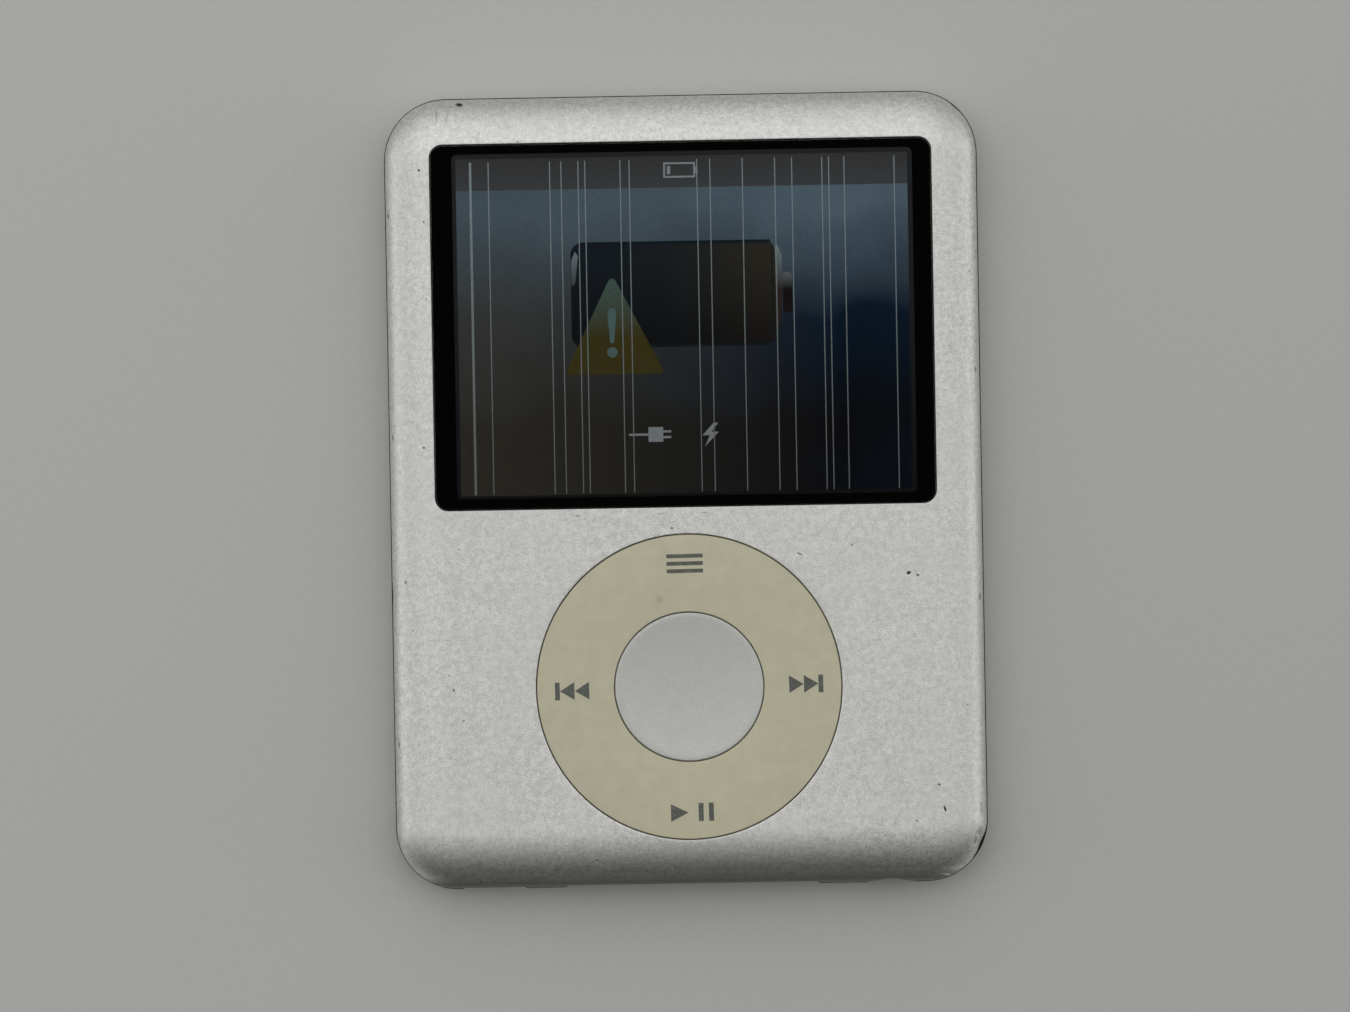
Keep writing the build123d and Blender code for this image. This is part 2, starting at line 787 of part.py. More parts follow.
def make_mid_frame():
    """The moulded frame: a rim, a plate behind the display and a raised bracket behind the wheel."""
    rim = frame_outline(frame_bottom, frame_top) - frame_outline(frame_bottom - 1, frame_top + 1, frame_wall)
    above_step = slab(-half_width, half_width, step_y - riser_thickness, half_height, 0, body_depth)
    below_step = slab(-half_width, half_width, -half_height, step_y, 0, body_depth)
    plate = frame_outline(plate_bottom, plate_top) & above_step
    bracket = frame_outline(bracket_bottom, switch_bottom) & below_step
    riser = frame_outline(plate_bottom, switch_bottom) & above_step & below_step
    frame = rim + plate + bracket + riser
    flex_side = display_flex_width / 2 + 2 * cut_clearance
    frame -= slab(-flex_side, flex_side, display_socket_y - cut_clearance, tray_low_y + cut_clearance / 2,
                  plate_bottom - 1, body_depth)
    frame -= wheel_flex_slot(wheel_flex_y + cut_clearance)
    for side in (-1, 1):
        for row in screw_rows:
            pad = disc(screw_pad_radius, head_top, boss_foot, side * screw_x, row)
            frame += pad & frame_outline(frame_bottom, frame_top)
            frame -= disc(screw_head_radius + 2 * fit_gap, frame_bottom - 1, head_top, side * screw_x, row)
            frame -= disc(screw_radius + fit_gap, frame_bottom, frame_top + 1, side * screw_x, row)
            frame -= disc(boss_radius + fit_gap, boss_foot, body_depth, side * screw_x, row)
    for x, y in board_screw_places():
        frame += disc(screw_post_radius, board_top, bracket_bottom + weld_depth, x, y)
        frame -= disc(screw_radius, board_top - 1, switch_bottom + 1, x, y)
    jack_side = jack_half_width + cut_clearance
    dock_side = dock_outer_width / 2 + cut_clearance
    hold_side = hold_body_width / 2 + cut_clearance
    frame -= slab(jack_x - jack_side, jack_x + jack_side, -half_height, jack_body_back + cut_clearance, 0, body_depth)
    frame -= slab(-dock_side, dock_side, -half_height, dock_back + cut_clearance / 2, 0, body_depth)
    return frame - slab(hold_x - hold_side, hold_x + hold_side, -half_height, hold_body_back + cut_clearance,
                        0, body_depth)


def screw_slot(x, y, head_low):
    """The driver slot in a screw's head, which faces the rear cover."""
    return slab(x - screw_radius, x + screw_radius, y - screw_slot_width / 2, y + screw_slot_width / 2,
                head_low - 1, head_low + screw_slot_depth)


def make_frame_screws():
    """Small screws that hold the frame to the bosses inside the front shell."""
    screws = []
    for side in (-1, 1):
        for row in screw_rows:
            screw = disc(screw_head_radius, head_top - screw_head_height, head_top, side * screw_x, row)
            screw -= screw_slot(side * screw_x, row, head_top - screw_head_height)
            screws.append(screw + disc(screw_radius - thread_gap, head_top, ceiling - screw_roof, side * screw_x, row))
    return screws


def board_screw_places():
    edge = board_width / 2 - board_screw_inset
    high = board_high_y - board_screw_row
    return ((-edge, high), (edge, high), (-edge, board_low_y + board_screw_row))


def make_board_screws():
    screws = []
    for x, y in board_screw_places():
        screw = disc(screw_head_radius, board_bottom - screw_head_height, board_bottom, x, y)
        screw -= screw_slot(x, y, board_bottom - screw_head_height)
        screws.append(screw + disc(screw_radius - thread_gap, board_bottom, bracket_bottom, x, y))
    return screws


# ---- logic board and its parts ----
def make_logic_board():
    board = slab(-board_width / 2, board_width / 2, board_low_y, board_high_y, board_bottom, board_top)
    board -= slab(jack_notch_x, board_width, board_low_y - 1, jack_notch_y, 0, body_depth)
    for x, y in board_screw_places():
        board -= disc(screw_radius + fit_gap, board_bottom - 1, board_top + 1, x, y)
    return board


def chip(x, y, width, height, thickness):
    """A chip soldered to the board's rear side; y is measured from the wheel's middle."""
    middle = wheel_y + y
    return slab(x - width / 2, x + width / 2, middle - height / 2, middle + height / 2,
                board_bottom - thickness, board_bottom)


def make_processor_chip():
    return chip(*processor)


def make_shield_can():
    """A thin tinned box over the processor."""
    x, y, width, height, thickness = processor
    inside = chip(x, y, width + 2 * can_gap, height + 2 * can_gap, thickness + can_roof_gap)
    outside = 2 * (can_gap + can_wall)
    return chip(x, y, width + outside, height + outside, thickness + can_roof_gap + can_wall) - inside


def make_flash_memory_chip():
    return chip(*flash_memory)


def make_small_chips():
    return [chip(*row) for row in small_chip_list]


def make_board_capacitors():
    """Small capacitors in two rows on the board's rear side and one row on its front side."""
    parts = []
    for index in range(capacitor_count):
        x = capacitor_start_x + index * capacitor_pitch
        parts.append(chip(x, upper_capacitor_row, capacitor_width, capacitor_length, capacitor_height))
        parts.append(chip(x + lower_row_shift, lower_capacitor_row, capacitor_width, capacitor_length,
                          capacitor_height))
        low_y = wheel_y + front_capacitor_row - small_capacitor_length / 2
        parts.append(slab(x - capacitor_width / 2, x + capacitor_width / 2, low_y, low_y + small_capacitor_length,
                          board_top, board_top + small_capacitor_height))
    return parts


def make_display_connector():
    half = display_tail_width / 2 + socket_end
    back = display_socket_y - socket_lip
    mouth = half - socket_mouth
    body = slab(-half, half, back, back + display_socket_depth, board_top, socket_top)
    return body - slab(-mouth, mouth, back - 1, back + socket_mouth, socket_top - socket_mouth / 4, socket_top + 1)


def make_wheel_connector():
    half = wheel_flex_width / 2 + cut_clearance
    back = wheel_flex_y - wheel_flex_low_tab - socket_lip
    return slab(wheel_flex_x - half, wheel_flex_x + half, back, back + wheel_socket_depth, board_top, socket_top)


# ---- dock socket ----
def make_dock_connector_shell():
    box = socket_prism(0, dock_height, dock_outer_width, dock_outer_height, dock_corner,
                       shell_face_y - 1, dock_back)
    box -= socket_prism(0, dock_height, dock_width, dock_opening, dock_inner_corner, shell_face_y - 2, dock_back + 1)
    return box & inside_surface(dock_edge_inset)


def make_dock_connector_insert():
    """The moulded back and tongue, with a slot that lets the contacts through to the board."""
    tongue_low = dock_height - dock_tongue / 2
    contact_low = tongue_low + dock_tongue
    back = socket_prism(0, dock_height, dock_width - thread_gap, dock_opening - thread_gap, dock_insert_corner,
                        dock_back - dock_back_wall, dock_back)
    tongue = slab(-dock_tongue_width / 2, dock_tongue_width / 2, shell_face_y + dock_tongue_recess,
                  dock_back - dock_back_wall + dock_weld, tongue_low, contact_low)
    slot_half = dock_contact_count * dock_pitch / 2
    slot = slab(-slot_half, slot_half, dock_back - 1, dock_back + 1, contact_low,
                contact_low + dock_contact_thickness)
    return back + tongue - slot


def make_dock_contacts():
    contact_low = dock_height + dock_tongue / 2
    tail_end = dock_back + dock_contact_tail
    contacts = []
    for index in range(dock_contact_count):
        x = (index - (dock_contact_count - 1) / 2) * dock_pitch
        left = x - dock_contact_width / 2
        right = x + dock_contact_width / 2
        contact = slab(left, right, shell_face_y + dock_contact_recess, tail_end, contact_low,
                       contact_low + dock_contact_thickness)
        contacts.append(contact + slab(left, right, tail_end - dock_contact_foot, tail_end, board_top, contact_low))
    return contacts


# ---- headphone jack ----
def make_jack_body():
    """The socket's block, with a round nose that ends flush with the outer surface."""
    nose = socket_rod(jack_x, jack_height, jack_nose_radius, shell_face_y - 1, jack_body_front)
    body = slab(jack_x - jack_half_width, jack_x + jack_half_width, jack_body_front, jack_body_back,
                jack_body_low, jack_body_top)
    body += nose & inside_surface(fit_gap)
    body -= socket_rod(jack_x, jack_height, jack_bore_radius, shell_face_y - 2, shell_face_y + jack_bore_length)
    for side in (-1, 1):
        for place in jack_contact_places:
            sides = (jack_x + side * jack_half_width, jack_x + side * (jack_half_width - jack_contact_pocket))
            half = jack_contact_height / 2 + jack_contact_gap
            body -= slab(min(sides), max(sides), shell_face_y + place, shell_face_y + place + jack_contact_length,
                         jack_height - half, jack_height + half)
    return body


def make_jack_contacts():
    """Four spring contacts that lie in pockets beside the bore."""
    contacts = []
    for side in (-1, 1):
        for place in jack_contact_places:
            middle = jack_x + side * (jack_half_width - jack_contact_thickness - jack_contact_gap)
            low_y = shell_face_y + place + jack_contact_gap
            contacts.append(slab(middle - jack_contact_thickness / 2, middle + jack_contact_thickness / 2, low_y,
                                 low_y + jack_contact_length - 2 * jack_contact_gap,
                                 jack_height - jack_contact_height / 2, jack_height + jack_contact_height / 2))
    return contacts


def make_jack_flex():
    low_y = shell_face_y + jack_flex_place
    return slab(jack_notch_x - jack_flex_overlap, jack_x - jack_half_width - thread_gap, low_y,
                low_y + jack_flex_length, board_top, board_top + flex_thickness)


# ---- hold switch ----
def make_hold_slider():
    """The knob in its slot, a flange behind the wall and a peg that drives the switch."""
    knob_low = hold_height - hold_knob_height / 2
    knob_high = hold_height + hold_knob_height / 2
    left = hold_rest_x - hold_knob_width / 2
    right = hold_rest_x + hold_knob_width / 2
    knob = slab(left, right, shell_face_y + hold_knob_recess, hold_flange_y, knob_low, knob_high)
    knob = fillet(knob.edges().filter_by(Axis.Y), hold_knob_corner)
    for rib in range(hold_rib_count):
        groove_x = hold_rest_x + (rib - (hold_rib_count - 1) / 2) * hold_rib_pitch
        knob -= slab(groove_x - hold_rib_width / 2, groove_x + hold_rib_width / 2, shell_face_y,
                     shell_face_y + hold_knob_recess + hold_rib_depth, knob_low - 1, knob_high + 1)
    flange_half = (hold_slot_height + hold_lip) / 2
    knob += slab(left - hold_flange_side, right + hold_flange_side, hold_flange_y, hold_back_y,
                 hold_height - flange_half, hold_height + flange_half)
    return knob + slab(hold_rest_x - hold_peg_width / 2, hold_rest_x + hold_peg_width / 2, hold_back_y - weld_depth,
                       hold_back_y + hold_peg_length, hold_height - hold_peg_height / 2,
                       hold_height + hold_peg_height / 2)


def peg_groove(y_low, y_high):
    """The way through for the knob's peg over its whole travel."""
    side = hold_peg_width / 2 + hold_peg_gap
    half = (hold_peg_height + hold_peg_gap) / 2
    return slab(hold_rest_x - hold_travel - side, hold_rest_x + side, y_low, y_high, hold_height - half,
                hold_height + half)


def make_hold_indicator():
    """The bright film that shows beside the knob when the switch is on."""
    film = slab(hold_x, hold_x + hold_slot_width / 2 + hold_side_gap, hold_film_y, hold_body_y,
                hold_height - hold_film_height / 2, hold_height + hold_film_height / 2)
    return film - peg_groove(hold_film_y - 1, hold_body_y + 1)


def make_hold_switch_body():
    body = slab(hold_x - hold_body_width / 2, hold_x + hold_body_width / 2, hold_body_y, hold_body_back,
                hold_height - hold_body_height / 2, hold_height + hold_body_height / 2)
    return body - peg_groove(hold_body_y - 1, hold_back_y + hold_peg_length + hold_peg_gap)


def make_hold_flex():
    """A ribbon down the switch's back and along the board's edge."""
    left = hold_x - hold_flex_width / 2
    right = hold_x + hold_flex_width / 2
    low_y = hold_body_back + thread_gap
    ribbon = slab(left, right, low_y, low_y + flex_thickness, board_top, hold_height + hold_body_height / 4)
    return ribbon + slab(left, right, low_y, board_low_y + hold_flex_overlap, board_top, board_top + flex_thickness)


# ---- battery ----
def make_battery_cell():
    return rounded_plate(battery_width, battery_height, battery_corner, battery_bottom, battery_top, y=battery_y)


def make_battery_adhesive():
    return slab(-battery_pad / 2, battery_pad / 2, battery_low_y + battery_pad_inset,
                battery_high_y - battery_pad_inset, battery_top, plate_bottom)


def make_battery_board():
    edge = battery_low_y - cell_board_gap
    low = battery_bottom + cell_board_rise
    return slab(-cell_board_width / 2, cell_board_width / 2, edge - cell_board_depth, edge, low,
                low + cell_board_thickness)


def make_battery_leads():
    """Three short insulated wires from the battery's board to the logic board."""
    edge = battery_low_y - cell_board_gap - cell_board_depth
    places = [side * lead_pitch for side in (-1, 0, 1)]
    return [socket_rod(x, board_bottom - lead_drop, lead_radius, board_high_y - lead_overlap, edge) for x in places]


def make_rear_insulator():
    return rounded_plate(battery_width, body_height - 2 * insulator_end_gap, insulator_corner, rear_wall, rear_floor,
                         y=insulator_shift)


pieces = {
    "front_shell": make_front_shell,
    "rear_cover": make_rear_cover,
    "clip_rails": make_clip_rails,
    "window_lens": make_window_lens,
    "window_adhesive": make_window_adhesive,
    "window_mask": make_window_mask,
    "display_gasket": make_display_gasket,
    "lcd_polariser": make_lcd_polariser,
    "lcd_glass": make_lcd_glass,
    "lcd_array_glass": make_lcd_array_glass,
    "lcd_driver_chip": make_lcd_driver_chip,
    "backlight_films": make_backlight_films,
    "light_guide": make_light_guide,
    "backlight_reflector": make_backlight_reflector,
    "backlight_leds": make_backlight_leds,
    "backlight_tray": make_backlight_tray,
    "display_flex": make_display_flex,
    "wheel_cap": make_wheel_cap,
    "wheel_touch_board": make_wheel_touch_board,
    "wheel_carrier": make_wheel_carrier,
    "wheel_spring": make_wheel_spring,
    "spring_posts": make_spring_posts,
    "menu_play_domes": make_menu_play_domes,
    "track_domes": make_track_domes,
    "select_dome": make_select_dome,
    "switch_board": make_switch_board,
    "wheel_flex": make_wheel_flex,
    "centre_button": make_centre_button,
    "button_plunger": make_button_plunger,
    "mid_frame": make_mid_frame,
    "frame_screws": make_frame_screws,
    "board_screws": make_board_screws,
    "logic_board": make_logic_board,
    "processor_chip": make_processor_chip,
    "shield_can": make_shield_can,
    "flash_memory_chip": make_flash_memory_chip,
    "small_chips": make_small_chips,
    "board_capacitors": make_board_capacitors,
    "display_connector": make_display_connector,
    "wheel_connector": make_wheel_connector,
    "dock_connector_shell": make_dock_connector_shell,
    "dock_connector_insert": make_dock_connector_insert,
    "dock_contacts": make_dock_contacts,
    "jack_body": make_jack_body,
    "jack_contacts": make_jack_contacts,
    "jack_flex": make_jack_flex,
    "hold_switch_body": make_hold_switch_body,
    "hold_slider": make_hold_slider,
    "hold_indicator": make_hold_indicator,
    "hold_flex": make_hold_flex,
    "battery_cell": make_battery_cell,
    "battery_adhesive": make_battery_adhesive,
    "battery_board": make_battery_board,
    "battery_leads": make_battery_leads,
    "rear_insulator": make_rear_insulator,
}

os.makedirs("parts", exist_ok=True)
for name, make in pieces.items():
    shape = make()
    if isinstance(shape, list):
        shape = Compound(children=shape)
    export_step(shape, f"parts/{name}.step")
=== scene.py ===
"""Looks of a pocket digital audio player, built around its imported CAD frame."""
import json
from math import atan2, cos, pi, radians, sin

import bmesh
import bpy
import numpy as np
from bpy.props import FloatProperty, FloatVectorProperty, PointerProperty
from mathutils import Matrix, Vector


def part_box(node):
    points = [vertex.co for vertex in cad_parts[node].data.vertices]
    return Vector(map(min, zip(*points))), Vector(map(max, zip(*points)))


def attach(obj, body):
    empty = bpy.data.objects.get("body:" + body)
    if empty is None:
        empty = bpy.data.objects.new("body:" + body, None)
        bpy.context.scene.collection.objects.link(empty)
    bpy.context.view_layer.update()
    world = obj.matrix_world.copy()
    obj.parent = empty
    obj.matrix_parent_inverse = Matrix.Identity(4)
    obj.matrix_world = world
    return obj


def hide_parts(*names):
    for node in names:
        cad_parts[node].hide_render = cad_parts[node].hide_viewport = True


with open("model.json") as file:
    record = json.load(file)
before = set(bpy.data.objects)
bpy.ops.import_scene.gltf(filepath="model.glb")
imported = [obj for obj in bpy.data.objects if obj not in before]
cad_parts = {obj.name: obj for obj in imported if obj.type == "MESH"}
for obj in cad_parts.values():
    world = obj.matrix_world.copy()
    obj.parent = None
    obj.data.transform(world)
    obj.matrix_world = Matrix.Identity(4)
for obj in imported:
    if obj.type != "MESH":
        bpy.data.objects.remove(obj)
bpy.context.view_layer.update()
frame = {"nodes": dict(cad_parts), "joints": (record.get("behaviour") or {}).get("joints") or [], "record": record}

bl_info = {
    "name": "Pocket Audio Player",
    "version": (1, 0, 0),
    "blender": (4, 5, 0),
    "location": "View3D > Sidebar > Audio Player",
    "description": "Builds the shell, window, touch wheel, sockets and stage of a pocket audio player",
    "category": "Add Mesh",
}

MM = 0.001


def box_mm(node):
    """Lowest and highest corner of a CAD node, in millimetres."""
    low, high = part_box(node)
    return np.array(low) / MM, np.array(high) / MM


SHELL_LOW, SHELL_HIGH = box_mm("front_shell")
REAR_LOW, REAR_HIGH = box_mm("rear_cover")
LENS_LOW, LENS_HIGH = box_mm("window_lens")
WHEEL_LOW, WHEEL_HIGH = box_mm("wheel_cap")
BUTTON_LOW, BUTTON_HIGH = box_mm("centre_button")
WHEEL_CENTRE = (WHEEL_LOW[:2] + WHEEL_HIGH[:2]) / 2
WINDOW_CENTRE = (LENS_LOW[:2] + LENS_HIGH[:2]) / 2


# ---- sizes and colours that a user would change ----
def length(name, description, default):
    """A size in millimetres."""
    return FloatProperty(name=name, description=description, default=default, min=0.0, unit="NONE")


def colour(name, description, default):
    """A surface colour."""
    return FloatVectorProperty(name=name, description=description, default=default, size=3, min=0.0, max=1.0,
                               subtype="COLOR")


class PlayerSizes(bpy.types.PropertyGroup):
    """Sizes of the visible pieces, in millimetres."""
    shell_corner: length("Shell corner", "Corner radius of the front shell's outline, mm", 5.4)
    shell_roll_width: length("Shell roll width", "How far in the rounded edge reaches, mm", 5.0)
    shell_roll_depth: length("Shell roll depth", "How far down the rounded edge reaches, mm", 2.75)
    shell_wall: length("Shell wall", "Thickness of the front shell, mm", 0.9)
    lip: length("Lip", "Rounding of the shell's openings, mm", 0.05)
    rear_corner: length("Rear corner", "Corner radius of the rear cover's outline, mm", 5.5)
    rear_roll_width: length("Rear roll width", "How far in the rear cover's rounded edge reaches, mm", 4.0)
    rear_roll_depth: length("Rear roll depth", "How far up the rear cover's rounded edge reaches, mm", 2.6)
    rear_wall: length("Rear wall", "Thickness of the rear cover, mm", 0.4)
    window_corner: length("Window corner", "Corner radius of the window opening, mm", 1.2)
    lens_flange: length("Lens flange", "How far the lens's hidden flange stands out, mm", 0.65)
    wheel_gap: length("Wheel gap", "Gap round the touch wheel, mm", 0.1)
    wheel_flange: length("Wheel flange", "How far the wheel's hidden flange stands out, mm", 0.75)
    socket_gap: length("Socket gap", "Gap round each socket in the bottom edge, mm", 0.05)
    wheel_edge: length("Wheel edge", "Rounding of the wheel's and the button's edges, mm", 0.07)
    button_flange: length("Button flange", "How far the button's hidden flange stands out, mm", 0.4)
    button_gap: length("Button gap", "Gap round the centre button, mm", 0.1)
    button_dish: length("Button dish", "Depth of the hollow in the centre button, mm", 0.20)
    print_height: length("Print height", "Thickness of the printed symbols, mm", 0.006)
    picture_lift: length("Picture lift", "Height between the layers of the screen picture, mm", 0.008)


class PlayerColours(bpy.types.PropertyGroup):
    """Colours of the visible finishes."""
    shell: colour("Shell", "Blasted anodised aluminium", (0.80, 0.80, 0.775))
    rear: colour("Rear cover", "Polished steel", (0.72, 0.72, 0.71))
    wheel: colour("Wheel", "Ivory plastic", (0.705, 0.672, 0.50))
    button: colour("Button", "Grey satin metallic finish", (0.6392, 0.6439, 0.6157))
    symbols: colour("Symbols", "Printed symbols", (0.11, 0.118, 0.10))
    warning: colour("Warning", "Warning triangle on the screen", (0.030, 0.0245, 0.0045))


class StageSettings(bpy.types.PropertyGroup):
    """Camera, floor and light."""
    camera_height: FloatProperty(name="Camera height", description="Camera above the floor", default=0.6, unit="LENGTH")
    camera_x: FloatProperty(name="Camera across", description="Camera to the right of the middle", default=0.00365,
                            unit="LENGTH")
    camera_y: FloatProperty(name="Camera along", description="Camera towards the display end", default=0.00811,
                            unit="LENGTH")
    camera_tilt: FloatProperty(name="Camera tilt", description="Tilt about the X axis", default=radians(-0.917),
                               subtype="ANGLE")
    camera_lean: FloatProperty(name="Camera lean", description="Tilt about the Y axis", default=radians(0.430),
                               subtype="ANGLE")
    camera_roll: FloatProperty(name="Camera roll", description="Turn about the view's axis", default=radians(-1.011),
                               subtype="ANGLE")
    camera_lens: FloatProperty(name="Lens", description="Focal length in millimetres", default=180.2)
    key_power: FloatProperty(name="Key power", description="Power of the large soft light, W", default=0.55)
    sky_strength: FloatProperty(name="Sky strength", description="Strength of the light all round", default=1.0)
    floor: colour("Floor", "Pale matt board", (0.66, 0.668, 0.654))
    floor_size: FloatProperty(name="Floor size", description="Side of the floor", default=2.4, unit="LENGTH")


# ---- materials ----
def add_node(tree, kind, inputs=(), **settings):
    """One shader node: inputs are name or index to a value or a socket."""
    made = tree.nodes.new(kind)
    for key, value in settings.items():
        setattr(made, key, value)
    for key, value in dict(inputs).items():
        if isinstance(value, bpy.types.NodeSocket):
            tree.links.new(value, made.inputs[key])
        else:
            made.inputs[key].default_value = value
    return made


def new_material(name):
    """An empty node material, its tree, and the place that its patterns read."""
    material = bpy.data.materials.new(name)
    material.use_nodes = True
    tree = material.node_tree
    tree.nodes.clear()
    return material, tree, add_node(tree, "ShaderNodeTexCoord").outputs["Object"]


def noise(tree, place, size_mm, detail=3.0, roughness=0.55):
    """A noise pattern whose blobs are about size_mm across."""
    return add_node(tree, "ShaderNodeTexNoise", {"Vector": place, "Scale": 1 / (size_mm * MM), "Detail": detail,
                                                 "Roughness": roughness}).outputs["Fac"]


def remap(tree, value, from_low, from_high, to_low=0.0, to_high=1.0):
    """A value stretched from one range to another, and kept inside it."""
    return add_node(tree, "ShaderNodeMapRange", {"Value": value, "From Min": from_low, "From Max": from_high,
                                                 "To Min": to_low, "To Max": to_high}).outputs["Result"]


def sum_of(tree, operation, first, second=0.0):
    """One sum or comparison."""
    return add_node(tree, "ShaderNodeMath", {0: first, 1: second}, operation=operation).outputs[0]


def times(tree, first, second):
    """The product of two values."""
    return sum_of(tree, "MULTIPLY", first, second)


def plus(tree, first, second):
    """The sum of two values."""
    return sum_of(tree, "ADD", first, second)


def larger(tree, first, second):
    """The larger of two values."""
    return sum_of(tree, "MAXIMUM", first, second)


def blend_colours(tree, factor, first, second):
    """Two colours mixed by a factor."""
    made = add_node(tree, "ShaderNodeMix", {"Factor": factor}, data_type="RGBA")
    for socket, value in ((made.inputs[6], first), (made.inputs[7], second)):
        if isinstance(value, bpy.types.NodeSocket):
            tree.links.new(value, socket)
        else:
            socket.default_value = (*value, 1.0)
    return made.outputs[2]


def bump(tree, height, distance_mm, strength=1.0, normal=None):
    """A bump from a height pattern; distance_mm is its full depth."""
    inputs = {"Height": height, "Distance": distance_mm * MM, "Strength": strength}
    if normal is not None:
        inputs["Normal"] = normal
    return add_node(tree, "ShaderNodeBump", inputs).outputs["Normal"]


def mark_mask(tree, place, marks):
    """Soft ellipses on the face: each mark is (x, y, half length, half width, turn in degrees, strength)."""
    total = None
    for x, y, half_length, half_width, turn, strength in marks:
        spot = add_node(tree, "ShaderNodeMapping", {
            "Vector": place, "Location": (x * MM, y * MM, 0), "Rotation": (0, 0, radians(turn)),
            "Scale": (half_length * MM, half_width * MM, 1.0)}, vector_type="TEXTURE").outputs[0]
        flat = add_node(tree, "ShaderNodeVectorMath", {0: spot, 1: (1, 1, 0)}, operation="MULTIPLY").outputs[0]
        fade = add_node(tree, "ShaderNodeTexGradient", {"Vector": flat}, gradient_type="SPHERICAL").outputs["Fac"]
        mask = remap(tree, fade, 0.0, 0.55, 0.0, strength)
        total = mask if total is None else larger(tree, total, mask)
    return total


def surfaced(material, inputs):
    """The material with its surface shader joined to an output."""
    tree = material.node_tree
    shader = add_node(tree, "ShaderNodeBsdfPrincipled", inputs)
    tree.links.new(shader.outputs[0], add_node(tree, "ShaderNodeOutputMaterial").inputs["Surface"])
    return material


def lit(material, light, roughness=0.5):
    """A black material that gives off light of its own and has no gloss."""
    return surfaced(material, {"Base Color": (0.004, 0.004, 0.005, 1), "Roughness": roughness,
                               "Specular IOR Level": 0.0, "Emission Color": light, "Emission Strength": 1.0})


def scaled(tree, colour_socket, factor):
    """A colour times a pattern."""
    return add_node(tree, "ShaderNodeVectorMath", {0: colour_socket, 1: factor}, operation="MULTIPLY").outputs[0]


def shaded(base, factor):
    """A colour made lighter or darker."""
    return tuple(min(1.0, channel * factor) for channel in base)


# Wear on the shell's face, in mm: x, y, half length, half width, turn, strength.
DARK_MARKS = (
    (-19.35, 34.3, 0.42, 0.20, -8, 1.0), (-21.35, 33.3, 0.07, 1.0, 3, 0.35), (-20.4, 33.2, 0.06, 0.8, -12, 0.3),
    (-22.95, 28.55, 0.14, 0.14, 0, 0.9), (-22.6, 24.0, 0.12, 0.16, 0, 0.6), (-22.5, 17.2, 0.10, 0.14, 0, 0.5),
    (19.45, -7.55, 0.26, 0.17, 20, 1.0), (20.25, -7.75, 0.17, 0.10, -30, 0.9), (22.3, -28.35, 0.13, 0.34, 18, 1.0),
    (25.15, -32.4, 0.15, 0.90, -33, 1.0),
    (9.9, -5.7, 0.34, 0.08, -25, 0.7), (-20.7, -17.2, 0.10, 0.22, 10, 0.7), (-19.9, -19.9, 0.16, 0.10, 15, 0.55),
    (-9.6, -2.05, 0.30, 0.06, 4, 0.5), (-2.2, -2.0, 0.55, 0.05, 3, 0.45), (1.6, -1.95, 0.35, 0.05, 0, 0.4),
    (24.4, 33.4, 0.32, 0.14, -40, 0.8), (25.7, 10.2, 0.12, 0.35, 0, 0.6), (25.75, -9.8, 0.12, 0.40, 0, 0.6),
    (-25.8, 24.6, 0.12, 0.30, 0, 0.6), (-25.75, 5.1, 0.12, 0.34, 0, 0.55), (-25.7, -22.0, 0.12, 0.36, 0, 0.5),
)
PALE_SCUFFS = (
    (16.4, -22.1, 1.5, 0.16, 3, 0.5), (15.2, -22.5, 1.0, 0.10, 5, 0.4), (14.2, -14.2, 1.3, 0.06, 38, 0.25),
    (-22.0, -8.0, 0.08, 2.2, 3, 0.25), (6.0, -31.6, 1.8, 0.06, 2, 0.25), (-14.5, -3.1, 1.6, 0.06, -5, 0.25),
)
# Chips at the corners: bare metal with a painted highlight on it and a painted shade round it.
CHIP_SHADE_AND_GLINT = (
    (25.55, -28.4, 0.18, 0.8, 4, 0.8), (25.2, -31.0, 0.42, 1.25, -14, 1.0), (24.0, -33.6, 0.12, 0.8, -45, 0.9),
    (22.7, -34.3, 0.85, 0.10, -12, 0.9),
    (25.0, 33.2, 0.35, 0.16, -42, 0.8),
)


